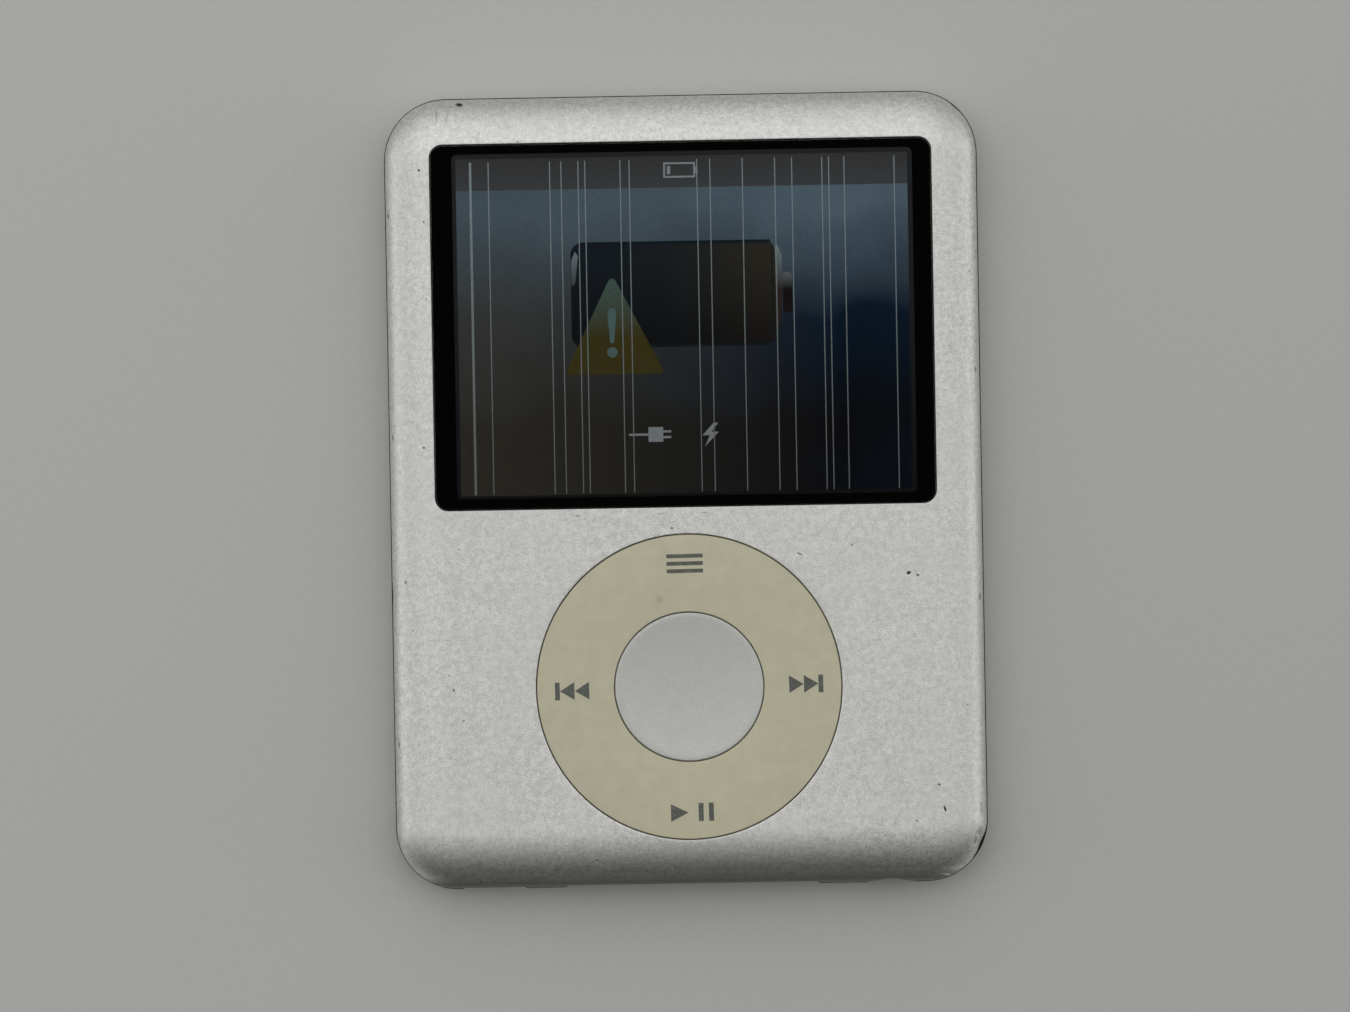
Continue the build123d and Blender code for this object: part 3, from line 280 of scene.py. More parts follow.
def shell_material(base):
    """Bead-blasted anodised aluminium: fine grain, faint clouds, dark pits, scuffs and bare chipped edges; a painted
    highlight on the chips and a painted shade round them, a painted shade along the wheel end's edge and a painted
    shade line at the seam.
    """
    material, tree, place = new_material("blasted_anodised_aluminium")
    grain = noise(tree, place, 0.13, 2.0, 0.7)
    coarse = noise(tree, place, 0.45, 3.0, 0.6)
    cloud = noise(tree, place, 9.0, 2.0)
    tone = plus(tree, times(tree, grain, 0.6), times(tree, coarse, 0.4))
    level = remap(tree, tone, 0.38, 0.62)
    body = blend_colours(tree, level, shaded(base, 0.72), shaded(base, 1.18))
    body = blend_colours(tree, remap(tree, cloud, 0.35, 0.65, 0.0, 0.35), body, shaded(base, 0.93))
    scuff = mark_mask(tree, place, PALE_SCUFFS)
    body = blend_colours(tree, times(tree, scuff, 0.5), body, shaded(base, 0.70))
    pits = add_node(tree, "ShaderNodeTexVoronoi", {"Vector": place, "Scale": 1 / (1.9 * MM)},
                    feature="F1").outputs["Distance"]
    rare = noise(tree, place, 3.1, 1.0)
    speck = remap(tree, pits, 0.035, 0.075, 1.0, 0.0)
    speck = times(tree, speck, remap(tree, rare, 0.52, 0.60, 0.0, 0.75))
    dark = larger(tree, mark_mask(tree, place, DARK_MARKS), speck)
    body = blend_colours(tree, dark, body, (0.045, 0.043, 0.04))
    parts = add_node(tree, "ShaderNodeSeparateXYZ", {0: place})
    # Painted shade: within about a millimetre of the wheel end's edge the rolled face is darkened, less so at its very
    # foot, standing for the dark that the rounded metal shows there.
    bottom_edge_shade = remap(tree, parts.outputs["Y"], (SHELL_LOW[1] + 0.45) * MM, (SHELL_LOW[1] + 1.15) * MM, 0.8, 0.0)
    rolled = remap(tree, parts.outputs["Z"], (SHELL_LOW[2] + 0.35) * MM, (SHELL_LOW[2] + 0.8) * MM, 0.25, 1.0)
    body = blend_colours(tree, times(tree, bottom_edge_shade, rolled), body, shaded(base, 0.12))
    # Painted shade: a dark line along the shell's lower rim, where it meets the rear cover, stands for the shade in the
    # seam.
    seam_shade = remap(tree, parts.outputs["Z"], (SHELL_LOW[2] + 0.02) * MM, (SHELL_LOW[2] + 0.12) * MM, 0.9, 0.0)
    body = blend_colours(tree, seam_shade, body, (0.05, 0.05, 0.047))
    chip_shade_and_glint = mark_mask(tree, place, CHIP_SHADE_AND_GLINT)
    bare_metal_and_glint = times(tree, chip_shade_and_glint, remap(tree, noise(tree, place, 0.5, 3.0, 0.7), 0.45, 0.56))
    # Painted shade: the area round each chip is darkened, standing for the shade in the dent.
    body = blend_colours(tree, times(tree, chip_shade_and_glint, 0.7), body, shaded(base, 0.35))
    # Bare metal in the chips, painted near-white as a painted highlight, as if a facet faced the light.
    body = blend_colours(tree, bare_metal_and_glint, body, (0.95, 0.95, 0.94))
    roughness = remap(tree, grain, 0.3, 0.7, 0.40, 0.52)
    roughness = sum_of(tree, "SUBTRACT", roughness, times(tree, bare_metal_and_glint, 0.22))
    normal = bump(tree, grain, 0.016, 0.9)
    normal = bump(tree, coarse, 0.012, 0.6, normal)
    normal = bump(tree, sum_of(tree, "SUBTRACT", 1.0, larger(tree, dark, bare_metal_and_glint)), 0.05, 0.8, normal)
    # Painted highlight: the metal is made less metallic where the chips are painted bright, so the white shows from
    # every side.
    bare = sum_of(tree, "SUBTRACT", 1.0, times(tree, bare_metal_and_glint, 0.85))
    return surfaced(material, {"Base Color": body, "Metallic": bare, "Roughness": roughness, "Normal": normal})


def polished_material(base):
    """Polished steel that has been carried in pockets: fine crossing scratches in a mirror finish, and a painted shade
    line along the seam at its rim.
    """
    material, tree, place = new_material("polished_steel")
    scratches = None
    for turn, stretch in ((24, 60.0), (-37, 44.0), (82, 52.0)):
        line = add_node(tree, "ShaderNodeMapping", {"Vector": place, "Rotation": (0, 0, radians(turn)),
                                                    "Scale": (1.0, stretch, 1.0)}).outputs[0]
        hair = remap(tree, noise(tree, line, 9.0, 5.0, 0.75), 0.60, 0.66)
        scratches = hair if scratches is None else larger(tree, scratches, hair)
    smear = noise(tree, place, 6.0, 3.0)
    roughness = plus(tree, remap(tree, smear, 0.35, 0.65, 0.05, 0.12), times(tree, scratches, 0.12))
    body = blend_colours(tree, times(tree, scratches, 0.35), base, shaded(base, 0.8))
    height = add_node(tree, "ShaderNodeSeparateXYZ", {0: place}).outputs["Z"]
    # Painted shade: a dark line along the rim, where the cover meets the shell, stands for the shade in the seam; the
    # same band is also made rougher.
    seam_shade = remap(tree, height, (REAR_HIGH[2] - 0.22) * MM, (REAR_HIGH[2] - 0.06) * MM)
    body = blend_colours(tree, seam_shade, body, (0.03, 0.03, 0.028))
    roughness = plus(tree, roughness, times(tree, seam_shade, 0.5))
    normal = bump(tree, scratches, 0.002, 0.35)
    normal = bump(tree, noise(tree, place, 14.0, 1.0), 0.02, 0.12, normal)
    return surfaced(material, {"Base Color": body, "Metallic": 1.0, "Roughness": roughness, "Normal": normal})


WHEEL_MARKS = (
    (-2.5, -9.5, 0.45, 0.45, 0, 0.30), (1.3, -8.9, 0.08, 0.55, 12, 0.18), (7.6, -22.8, 0.06, 0.9, 40, 0.2),
    (-8.6, -12.4, 0.05, 1.0, -25, 0.15), (-6.2, -26.2, 0.7, 0.05, 10, 0.15),
)


def ivory_material(base):
    """Matt ivory plastic, a little yellowed and mottled, with faint thumb polish."""
    material, tree, place = new_material("ivory_matt_plastic")
    fine = noise(tree, place, 0.20, 2.0, 0.6)
    mottle = noise(tree, place, 1.6, 4.0, 0.6)
    cloud = noise(tree, place, 8.0, 2.0)
    body = blend_colours(tree, remap(tree, mottle, 0.38, 0.64), shaded(base, 0.945), shaded(base, 1.04))
    body = blend_colours(tree, remap(tree, fine, 0.35, 0.65, 0.0, 0.35), body, shaded(base, 0.90))
    body = blend_colours(tree, remap(tree, cloud, 0.4, 0.6, 0.0, 0.3), body, (base[0] * 1.02, base[1], base[2] * 0.93))
    body = blend_colours(tree, mark_mask(tree, place, WHEEL_MARKS), body, shaded(base, 0.45))
    roughness = remap(tree, mottle, 0.35, 0.65, 0.40, 0.52)
    return surfaced(material, {"Base Color": body, "Roughness": roughness, "Normal": bump(tree, fine, 0.006, 0.6),
                               "Subsurface Weight": 0.08, "Subsurface Radius": (0.9, 0.7, 0.4),
                               "Subsurface Scale": 0.001, "Specular IOR Level": 0.35})


def button_material(base):
    """Grey satin plastic with a fine metallic grain."""
    material, tree, place = new_material("grey_satin_button")
    fine = noise(tree, place, 0.15, 2.0, 0.65)
    mottle = noise(tree, place, 1.1, 4.0, 0.6)
    body = blend_colours(tree, remap(tree, fine, 0.32, 0.68), shaded(base, 0.90), shaded(base, 1.07))
    body = blend_colours(tree, remap(tree, mottle, 0.4, 0.62, 0.0, 0.5), body, shaded(base, 0.94))
    return surfaced(material, {"Base Color": body, "Metallic": 0.85, "Specular IOR Level": 0.4,
                               "Roughness": remap(tree, mottle, 0.35, 0.65, 0.36, 0.46),
                               "Normal": bump(tree, fine, 0.008, 0.6)})


def print_material(base):
    """Thin grey-green printing ink, slightly worn."""
    material, tree, place = new_material("symbol_ink")
    wear = noise(tree, place, 0.25, 3.0, 0.7)
    body = blend_colours(tree, remap(tree, wear, 0.50, 0.72, 0.0, 0.8), base, shaded(base, 2.1))
    return surfaced(material, {"Base Color": body, "Roughness": remap(tree, wear, 0.3, 0.7, 0.42, 0.6),
                               "Normal": bump(tree, wear, 0.003, 0.4)})


def glow_material(name, low_colour, high_colour, y_low, y_high, grain=0.05):
    """A lit patch of the screen, shaded from low_colour at y_low to high_colour at y_high, in mm, with a fine grain."""
    material, tree, place = new_material(name)
    parts = add_node(tree, "ShaderNodeSeparateXYZ", {0: place})
    rise = remap(tree, parts.outputs["Y"], y_low * MM, y_high * MM)
    light = blend_colours(tree, rise, low_colour, high_colour)
    fine = remap(tree, noise(tree, place, 0.22, 2.0), 0.3, 0.7, 1.0 - grain, 1.0 + grain)
    return lit(material, scaled(tree, light, fine))


def picture_material():
    """The lit background: blue-grey at the top, sinking to brown-black on the left and blue-black on the right."""
    material, tree, place = new_material("screen_background")
    parts = add_node(tree, "ShaderNodeSeparateXYZ", {0: place})
    across = remap(tree, parts.outputs["X"], -16.0 * MM, 14.0 * MM)
    drop = remap(tree, parts.outputs["Y"], 6.0 * MM, 25.0 * MM)
    wave = remap(tree, noise(tree, place, 11.0, 2.0), 0.3, 0.7, -0.10, 0.10)
    fall = add_node(tree, "ShaderNodeClamp", {0: plus(tree, drop, wave)}).outputs[0]
    low = blend_colours(tree, across, (0.018, 0.0165, 0.012), (0.0, 0.0003, 0.0014))
    middle = blend_colours(tree, across, (0.030, 0.032, 0.031), (0.0, 0.0055, 0.0145))
    high = blend_colours(tree, across, (0.050, 0.071, 0.087), (0.062, 0.092, 0.115))
    lower_half = blend_colours(tree, remap(tree, fall, 0.0, 0.5), low, middle)
    light = blend_colours(tree, remap(tree, fall, 0.5, 1.0), lower_half, high)
    fine = remap(tree, noise(tree, place, 0.2, 2.0), 0.3, 0.7, 0.92, 1.08)
    return lit(material, scaled(tree, light, fine), 0.4)


def barrel_material():
    """The cell's barrel: near black, with a soft brown-grey sheen that grows towards its far end, darker below."""
    material, tree, place = new_material("cell_barrel")
    parts = add_node(tree, "ShaderNodeSeparateXYZ", {0: place})
    along = sum_of(tree, "POWER", remap(tree, parts.outputs["X"], -8.5 * MM, 6.5 * MM), 2.2)
    light = blend_colours(tree, along, (0.0042, 0.0075, 0.0105), (0.0175, 0.0150, 0.0105))
    rise = remap(tree, parts.outputs["Y"], 12.8 * MM, 20.4 * MM, 0.22, 1.0)
    return lit(material, scaled(tree, light, rise))


def lens_material():
    """Clear hard window plastic with the faintest smear in its gloss."""
    material, tree, place = new_material("clear_window")
    smear = noise(tree, place, 5.0, 3.0)
    scratch = add_node(tree, "ShaderNodeMapping", {"Vector": place, "Rotation": (0, 0, radians(31)),
                                                   "Scale": (1.0, 40.0, 1.0)}).outputs[0]
    hair = remap(tree, noise(tree, scratch, 12.0, 5.0, 0.7), 0.62, 0.66)
    return surfaced(material, {"Base Color": (0.97, 0.98, 0.98, 1), "IOR": 1.49, "Transmission Weight": 1.0,
                               "Roughness": remap(tree, smear, 0.3, 0.7, 0.0, 0.02),
                               "Normal": bump(tree, hair, 0.0006, 0.15)})


def mask_material():
    """Deep black printing ink behind the window."""
    material, tree, place = new_material("black_mask_ink")
    fleck = noise(tree, place, 0.4, 2.0)
    body = blend_colours(tree, remap(tree, fleck, 0.4, 0.6), (0.0012, 0.0012, 0.0013), (0.0022, 0.0022, 0.0022))
    return surfaced(material, {"Base Color": body, "Roughness": remap(tree, fleck, 0.3, 0.7, 0.35, 0.5)})


# How each hidden finish looks: metallic, roughness, grain in mm, grain contrast, bump in mm, stretch along X.
FINISHES = {
    "pressed": (1.0, 0.30, 0.35, 0.08, 0.004, 1.0),
    "brushed": (1.0, 0.34, 0.25, 0.12, 0.004, 14.0),
    "bright": (1.0, 0.12, 1.5, 0.05, 0.002, 1.0),
    "gold": (1.0, 0.22, 0.4, 0.10, 0.002, 1.0),
    "moulded": (0.0, 0.45, 0.30, 0.08, 0.006, 1.0),
    "glossy": (0.0, 0.18, 1.2, 0.05, 0.002, 1.0),
    "resin": (0.0, 0.55, 0.18, 0.18, 0.006, 1.0),
    "foam": (0.0, 0.95, 0.15, 0.35, 0.03, 1.0),
    "film": (0.0, 0.28, 2.5, 0.10, 0.003, 1.0),
    "foil": (0.35, 0.38, 1.0, 0.15, 0.02, 1.0),
    "satin_paint": (0.6, 0.38, 0.2, 0.06, 0.004, 1.0),
}
SLOT_FINISH = {
    "rail_steel": "brushed", "adhesive_grey": "foam", "gasket_foam": "foam", "display_film": "film",
    "chip_black": "resin", "film_white": "film", "guide_clear": "glossy", "lamp_white": "glossy",
    "tray_steel": "pressed", "flex_amber": "film", "plunger_white": "moulded", "carrier_steel": "pressed",
    "spring_steel": "brushed", "dome_steel": "bright", "frame_black": "moulded", "screw_steel": "pressed",
    "can_tin": "pressed", "capacitor_tan": "resin", "socket_cream": "moulded", "dock_steel": "brushed",
    "dock_black": "moulded", "contact_gold": "gold", "jack_white": "glossy", "switch_black": "moulded",
    "slider_silver": "satin_paint", "indicator_orange": "film", "battery_foil": "foil", "lead_red": "glossy",
    "film_amber": "film",
}


def hidden_material(slot, base, finish):
    """A procedural finish for a piece inside or in a socket: grain, colour variation and bump at its own scale."""
    metallic, rough, grain_mm, contrast, depth_mm, stretch = FINISHES[finish]
    material, tree, place = new_material(slot)
    place = add_node(tree, "ShaderNodeMapping", {"Vector": place, "Scale": (1.0, stretch, 1.0)}).outputs[0]
    grain = noise(tree, place, grain_mm, 4.0, 0.6)
    cloud = noise(tree, place, grain_mm * 9, 2.0)
    body = blend_colours(tree, remap(tree, grain, 0.35, 0.65), shaded(base, 1 - contrast), shaded(base, 1 + contrast))
    body = blend_colours(tree, remap(tree, cloud, 0.4, 0.7, 0.0, 0.4), body, shaded(base, 1 - contrast * 1.6))
    return surfaced(material, {"Base Color": body, "Metallic": metallic,
                               "Roughness": remap(tree, grain, 0.3, 0.7, rough * 0.85, min(1.0, rough * 1.2)),
                               "Normal": bump(tree, grain, depth_mm, 0.7)})


def board_material(base):
    """Green solder mask over copper tracks and round gold pads."""
    material, tree, place = new_material("board_green")
    tracks = add_node(tree, "ShaderNodeTexBrick", {
        "Vector": place, "Scale": 1 / (1.0 * MM), "Mortar Size": 0.07, "Mortar Smooth": 0.1, "Brick Width": 1.9,
        "Row Height": 0.42, "Color1": (0, 0, 0, 1), "Color2": (0, 0, 0, 1), "Mortar": (1, 1, 1, 1)}).outputs["Fac"]
    pads = add_node(tree, "ShaderNodeTexVoronoi", {"Vector": place, "Scale": 1 / (1.7 * MM)}).outputs["Distance"]
    pad = remap(tree, pads, 0.10, 0.12, 1.0, 0.0)
    body = blend_colours(tree, times(tree, tracks, 0.7), base, shaded(base, 1.9))
    body = blend_colours(tree, pad, body, (0.72, 0.53, 0.22))
    return surfaced(material, {"Base Color": body, "Metallic": times(tree, pad, 0.9), "Roughness": 0.35,
                               "Normal": bump(tree, larger(tree, tracks, pad), 0.02, 0.6)})


def glass_material(slot, base):
    """Thin display glass, faintly tinted."""
    material, tree, place = new_material(slot)
    smear = noise(tree, place, 4.0, 2.0)
    body = blend_colours(tree, remap(tree, smear, 0.4, 0.6), shaded(base, 1.9), shaded(base, 2.1))
    return surfaced(material, {"Base Color": body, "Roughness": remap(tree, smear, 0.3, 0.7, 0.02, 0.06), "IOR": 1.52,
                               "Transmission Weight": 0.7})


# ---- surfaces ----
WELD = 0.0004  # mm
SHARP_ANGLE = 38  # degrees


def sheet_faces(rows, columns):
    """The four-sided faces of a grid of points, row after row."""
    corner = (np.arange(rows - 1)[:, None] * columns + np.arange(columns - 1)[None, :]).ravel()
    return np.stack([corner, corner + 1, corner + columns + 1, corner + columns], axis=1)


def sheet_surface(grid):
    """A surface from a rows by columns by 3 grid of points in mm."""
    rows, columns, _ = grid.shape
    return grid.reshape(-1, 3), sheet_faces(rows, columns)


def closed_columns(grid):
    """The grid with its first column repeated at the end, so that it closes on itself."""
    return np.concatenate([grid, grid[:, :1]], axis=1)


def welded_mesh(name, surfaces, caps=()):
    """Surfaces and flat caps in mm as one mesh in metres, shared points welded and faces outwards."""
    points, faces, start = [], [], 0
    for surface_points, surface_faces in surfaces:
        points.append(surface_points)
        faces.extend((surface_faces + start).tolist())
        start += len(surface_points)
    for cap in caps:
        points.append(cap)
        faces.append(list(range(start, start + len(cap))))
        start += len(cap)
    mesh = bpy.data.meshes.new(name)
    mesh.from_pydata((np.concatenate(points) * MM).tolist(), [], faces)
    edit = bmesh.new()
    edit.from_mesh(mesh)
    bmesh.ops.remove_doubles(edit, verts=edit.verts, dist=WELD * MM)
    bmesh.ops.dissolve_degenerate(edit, edges=edit.edges, dist=WELD / 2 * MM)
    bmesh.ops.recalc_face_normals(edit, faces=edit.faces)
    edit.to_mesh(mesh)
    edit.free()
    return mesh


def smooth(mesh):
    """Smooth shading with crisp edges where faces meet sharply."""
    mesh.shade_smooth()
    mesh.set_sharp_from_angle(angle=radians(SHARP_ANGLE))


def linked_object(name, data):
    """A new object in the scene."""
    made = bpy.data.objects.new(name, data)
    bpy.context.scene.collection.objects.link(made)
    return made


def make_piece(name, surfaces, material, body, replaces=(), caps=()):
    """Makes one welded piece that rides on a CAD body."""
    mesh = welded_mesh(name, surfaces, caps)
    smooth(mesh)
    piece = linked_object(name, mesh)
    mesh.materials.append(material)
    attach(piece, body)
    if replaces:
        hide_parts(*replaces)
    return piece


def turned_surface(profile, centre, segments):
    """A closed profile of (radius, height) points turned about the upright line through centre."""
    profile = np.array(profile, float)
    profile = np.concatenate([profile, profile[:1]])
    angle = np.linspace(0, 2 * pi, segments + 1)
    angle[-1] = 0.0
    x = centre[0] + profile[:, 0][:, None] * np.cos(angle)
    y = centre[1] + profile[:, 0][:, None] * np.sin(angle)
    z = np.repeat(profile[:, 1][:, None], segments + 1, axis=1)
    return sheet_surface(np.stack([x, y, z], axis=2))


def arc(centre_x, centre_y, radius_x, radius_y, start, end, steps):
    """Points along part of an ellipse, angles in degrees, both ends included."""
    angle = np.radians(np.linspace(start, end, steps + 1))
    return np.stack([centre_x + radius_x * np.cos(angle), centre_y + radius_y * np.sin(angle)], axis=1)


def line(start, end, steps):
    """Points along a straight run, both ends included."""
    share = np.linspace(0, 1, steps + 1)[:, None]
    return np.array(start, float) * (1 - share) + np.array(end, float) * share


def chain(*runs):
    """Runs joined end to end, each shared end kept once, and the last end left out."""
    return np.concatenate([run[:-1] for run in runs])


def rounded_loop(half_x, half_y, corner, centre=(0.0, 0.0), side_steps=40, corner_steps=16):
    """A closed rounded rectangle, anticlockwise, as one point list."""
    inner_x, inner_y = half_x - corner, half_y - corner
    loop = chain(
        line((half_x, -inner_y), (half_x, inner_y), side_steps),
        arc(inner_x, inner_y, corner, corner, 0, 90, corner_steps),
        line((inner_x, half_y), (-inner_x, half_y), side_steps),
        arc(-inner_x, inner_y, corner, corner, 90, 180, corner_steps),
        line((-half_x, inner_y), (-half_x, -inner_y), side_steps),
        arc(-inner_x, -inner_y, corner, corner, 180, 270, corner_steps),
        line((-inner_x, -half_y), (inner_x, -half_y), side_steps),
        arc(inner_x, -inner_y, corner, corner, 270, 360, corner_steps),
    )
    return loop + np.array(centre)


def circle_loop(x, y, radius, steps):
    """A circle's outline."""
    turn = np.linspace(0, 2 * pi, steps + 1)[:-1]
    return np.stack([x + radius * np.cos(turn), y + radius * np.sin(turn)], axis=1)


def inset_from(points, half_x, half_y, corner):
    """How far each (x, y) point lies inside a rounded rectangle about the origin."""
    over = np.abs(points) - np.array([half_x - corner, half_y - corner])
    outside = np.hypot(*np.moveaxis(np.maximum(over, 0), -1, 0))
    return corner - outside - np.minimum(over.max(axis=-1), 0)


def rolled_height(inset, foot, crown, width):
    """Height of an edge that rises from foot to crown as a quarter ellipse, width wide."""
    share = np.clip(inset / width, 0, 1)
    return foot + (crown - foot) * np.sqrt(np.clip(1 - (1 - share) ** 2, 0, 1))


def prism(loop, low, high, axis=2):
    """A closed bar with the outline loop, from low to high along an axis; its caps are returned apart."""
    ends = [np.insert(loop, axis, level, axis=1) for level in (low, high)]
    return sheet_surface(closed_columns(np.stack(ends))), ends


# ---- front shell ----
SPLIT_REACH = 1.6  # mm
SIDE_STEPS, ACROSS_STEPS, CORNER_STEPS, SPLIT_STEPS = 64, 96, 36, 12
FACE_RINGS, UNDERSIDE_RINGS, LIP_ROWS = 46, 16, 6
RIM_ROUNDING, REAR_RIM_ROUNDING = 0.05, 0.09  # mm
WHEEL_SEAT_ROOM = 0.35  # mm, how far the recess over the wheel's flange reaches past it
SOCKET_DEPTH = 3.2  # mm
JACK_NOSE_WALL = 0.3  # mm
HOLD_HALF_WIDTH, HOLD_HALF_HEIGHT, HOLD_CORNER = 2.75, 0.8, 0.6  # mm


def half_outline(half_x, reach_y, corner):
    """One half of the shell's outline above the dividing line: up one side, over the end and down, then back
    along the line. Local y is the distance from the line. Returns the loop and how many points lie on the outline."""
    outline = chain(
        line((half_x, 0), (half_x, SPLIT_REACH), SPLIT_STEPS),
        line((half_x, SPLIT_REACH), (half_x, reach_y - corner), SIDE_STEPS),
        arc(half_x - corner, reach_y - corner, corner, corner, 0, 90, CORNER_STEPS),
        line((half_x - corner, reach_y), (corner - half_x, reach_y), ACROSS_STEPS),
        arc(corner - half_x, reach_y - corner, corner, corner, 90, 180, CORNER_STEPS),
        line((-half_x, reach_y - corner), (-half_x, SPLIT_REACH), SIDE_STEPS),
        line((-half_x, SPLIT_REACH), (-half_x, 0), SPLIT_STEPS),
    )
    back = chain(
        line((-half_x, 0), (SPLIT_REACH - half_x, 0), SPLIT_STEPS),
        line((SPLIT_REACH - half_x, 0), (half_x - SPLIT_REACH, 0), ACROSS_STEPS),
        line((half_x - SPLIT_REACH, 0), (half_x, 0), SPLIT_STEPS),
    )
    return np.concatenate([outline, back]), len(outline) + 1


def opening_loop(half_x, half_y, corner, centre_y):
    """The window's outline with the same number of points per stretch as half_outline."""
    x, y = half_x - corner, half_y - corner
    half_turn = SPLIT_STEPS
    loop = chain(
        arc(x, -y, corner, corner, -45, 0, half_turn),
        line((half_x, -y), (half_x, y), SIDE_STEPS),
        arc(x, y, corner, corner, 0, 90, CORNER_STEPS),
        line((x, half_y), (-x, half_y), ACROSS_STEPS),
        arc(-x, y, corner, corner, 90, 180, CORNER_STEPS),
        line((-half_x, y), (-half_x, -y), SIDE_STEPS),
        arc(-x, -y, corner, corner, 180, 225, half_turn),
        arc(-x, -y, corner, corner, 225, 270, half_turn),
        line((-x, -half_y), (x, -half_y), ACROSS_STEPS),
        arc(x, -y, corner, corner, 270, 315, half_turn),
    )
    return loop + np.array([0, centre_y])


def round_opening(loop, radius, centre_y):
    """The point of a circle that each point of loop looks at."""
    away = loop - np.array([0, centre_y])
    return np.array([0, centre_y]) + away * (radius / np.hypot(away[:, 0], away[:, 1]))[:, None]


def spread(outer, inner, rings, power):
    """Rings of points between two loops, crowded towards the outer one."""
    share = (np.linspace(0, 1, rings + 1) ** power)[:, None, None]
    return outer[None] * (1 - share) + inner[None] * share


def corner_dent(points):
    """A knock on the lower right corner: the edge is pushed inwards in a shallow oval."""
    dents = ((25.9, -31.8, 1.0, 1.4, 0.25), (24.9, 33.9, 1.0, 0.8, 0.16), (-26.1, -9.0, 0.5, 1.0, 0.05))
    for x, y, wide, tall, depth in dents:
        away = ((points[:, 0] - x) / wide) ** 2 + ((points[:, 1] - y) / tall) ** 2
        push = depth * np.exp(-1.6 * away)
        reach = np.hypot(points[:, 0], points[:, 1])
        points[:, 0] -= push * points[:, 0] / reach
        points[:, 1] -= push * points[:, 1] / reach
        points[:, 2] -= 0.35 * push
    return points


def shell_half(side, far_y, sizes, opening):
    """The skin of one half of the shell: face, opening, underside, walls and rim.
    side is 1 for the display half and -1 for the wheel half; opening(grow, loop) gives the hole's loop."""
    half_x, half_y = SHELL_HIGH[0], SHELL_HIGH[1]
    crown, foot = SHELL_HIGH[2], SHELL_HIGH[2] - sizes.shell_roll_depth
    rim, wall, lip = SHELL_LOW[2], sizes.shell_wall, sizes.lip
    split = split_line()

    def place(loop, height=None):
        """Local points to the player's own axes, on the outer skin or at a height."""
        x, y = side * loop[..., 0], split + side * loop[..., 1]
        flat = np.stack([x, y], axis=-1)
        if height is None:
            inset = inset_from(flat, half_x, half_y, sizes.shell_corner)
            height = rolled_height(inset, foot, crown, sizes.shell_roll_width)
        return np.concatenate([flat, np.broadcast_to(height, x.shape)[..., None]], axis=-1)

    def under(loop):
        """Local points on the underside."""
        flat = np.stack([side * loop[..., 0], split + side * loop[..., 1]], axis=-1)
        inset = inset_from(flat, half_x - wall, half_y - wall, sizes.shell_corner - wall)
        height = rolled_height(inset, foot, crown - wall, sizes.shell_roll_width - wall)
        away = np.hypot(flat[..., 0] - WHEEL_CENTRE[0], flat[..., 1] - WHEEL_CENTRE[1])
        seat = WHEEL_HIGH[0] - WHEEL_CENTRE[0] + WHEEL_SEAT_ROOM
        return place(loop, np.where((side < 0) & (away < seat), crown - wall, height))

    outer, on_outline = half_outline(half_x, far_y, sizes.shell_corner)
    inner, _ = half_outline(half_x - wall, far_y - wall, sizes.shell_corner - wall)
    lip_loop, hole_loop = opening(lip, outer), opening(0.0, outer)
    face = place(spread(outer, lip_loop, FACE_RINGS, 2.0))
    lip_rows = []
    for angle in np.radians(np.linspace(0, 90, LIP_ROWS)):
        row = place(lip_loop * (1 - sin(angle)) + hole_loop * sin(angle))
        row[:, 2] = place(lip_loop)[:, 2] - lip * (1 - cos(angle))
        lip_rows.append(row)
    lip_rows.append(under(hole_loop))
    below = under(spread(hole_loop, inner, UNDERSIDE_RINGS, 0.6))
    shells = [sheet_surface(closed_columns(grid)) for grid in (face, np.stack(lip_rows), below)]
    skin, skin_faces = shells[0]
    shells[0] = (corner_dent(skin), skin_faces)
    edge, edge_in, soft = outer[:on_outline], inner[:on_outline], RIM_ROUNDING
    towards = (edge_in - edge) / wall
    outside = [place(edge, level) for level in np.linspace(foot, rim + soft, 4)]
    for angle in np.radians((30, 60, 90)):
        outside.append(place(edge + towards * soft * (1 - cos(angle)), rim + soft * (1 - sin(angle))))
    inside = [place(edge_in, level) for level in np.linspace(rim, foot, 3)]
    dented = corner_dent(np.concatenate(outside)).reshape(len(outside), -1, 3)
    shells.append(sheet_surface(np.concatenate([dented, np.stack(inside)])))
    return shells


def split_line():
    """The y of the line across the face, midway between the window and the wheel."""
    return (LENS_LOW[1] + WHEEL_HIGH[1]) / 2


def cut_opening(piece, loop, low_y):
    """Cuts a bar-shaped opening inwards from the bottom edge at low_y; loop holds its (x, z) points."""
    surface, ends = prism(loop, low_y - 1, low_y + SOCKET_DEPTH, axis=1)
    cutter = linked_object("cutter", welded_mesh("cutter", [surface], ends))
    cut = piece.modifiers.new("cut", "BOOLEAN")
    cut.operation, cut.solver, cut.object = "DIFFERENCE", "EXACT", cutter
    shaped = bpy.data.meshes.new_from_object(piece.evaluated_get(bpy.context.evaluated_depsgraph_get()))
    piece.modifiers.remove(cut)
    old = piece.data
    piece.data = shaped
    shaped.name = piece.name
    bpy.data.meshes.remove(old)
    bpy.data.objects.remove(cutter)
    smooth(shaped)


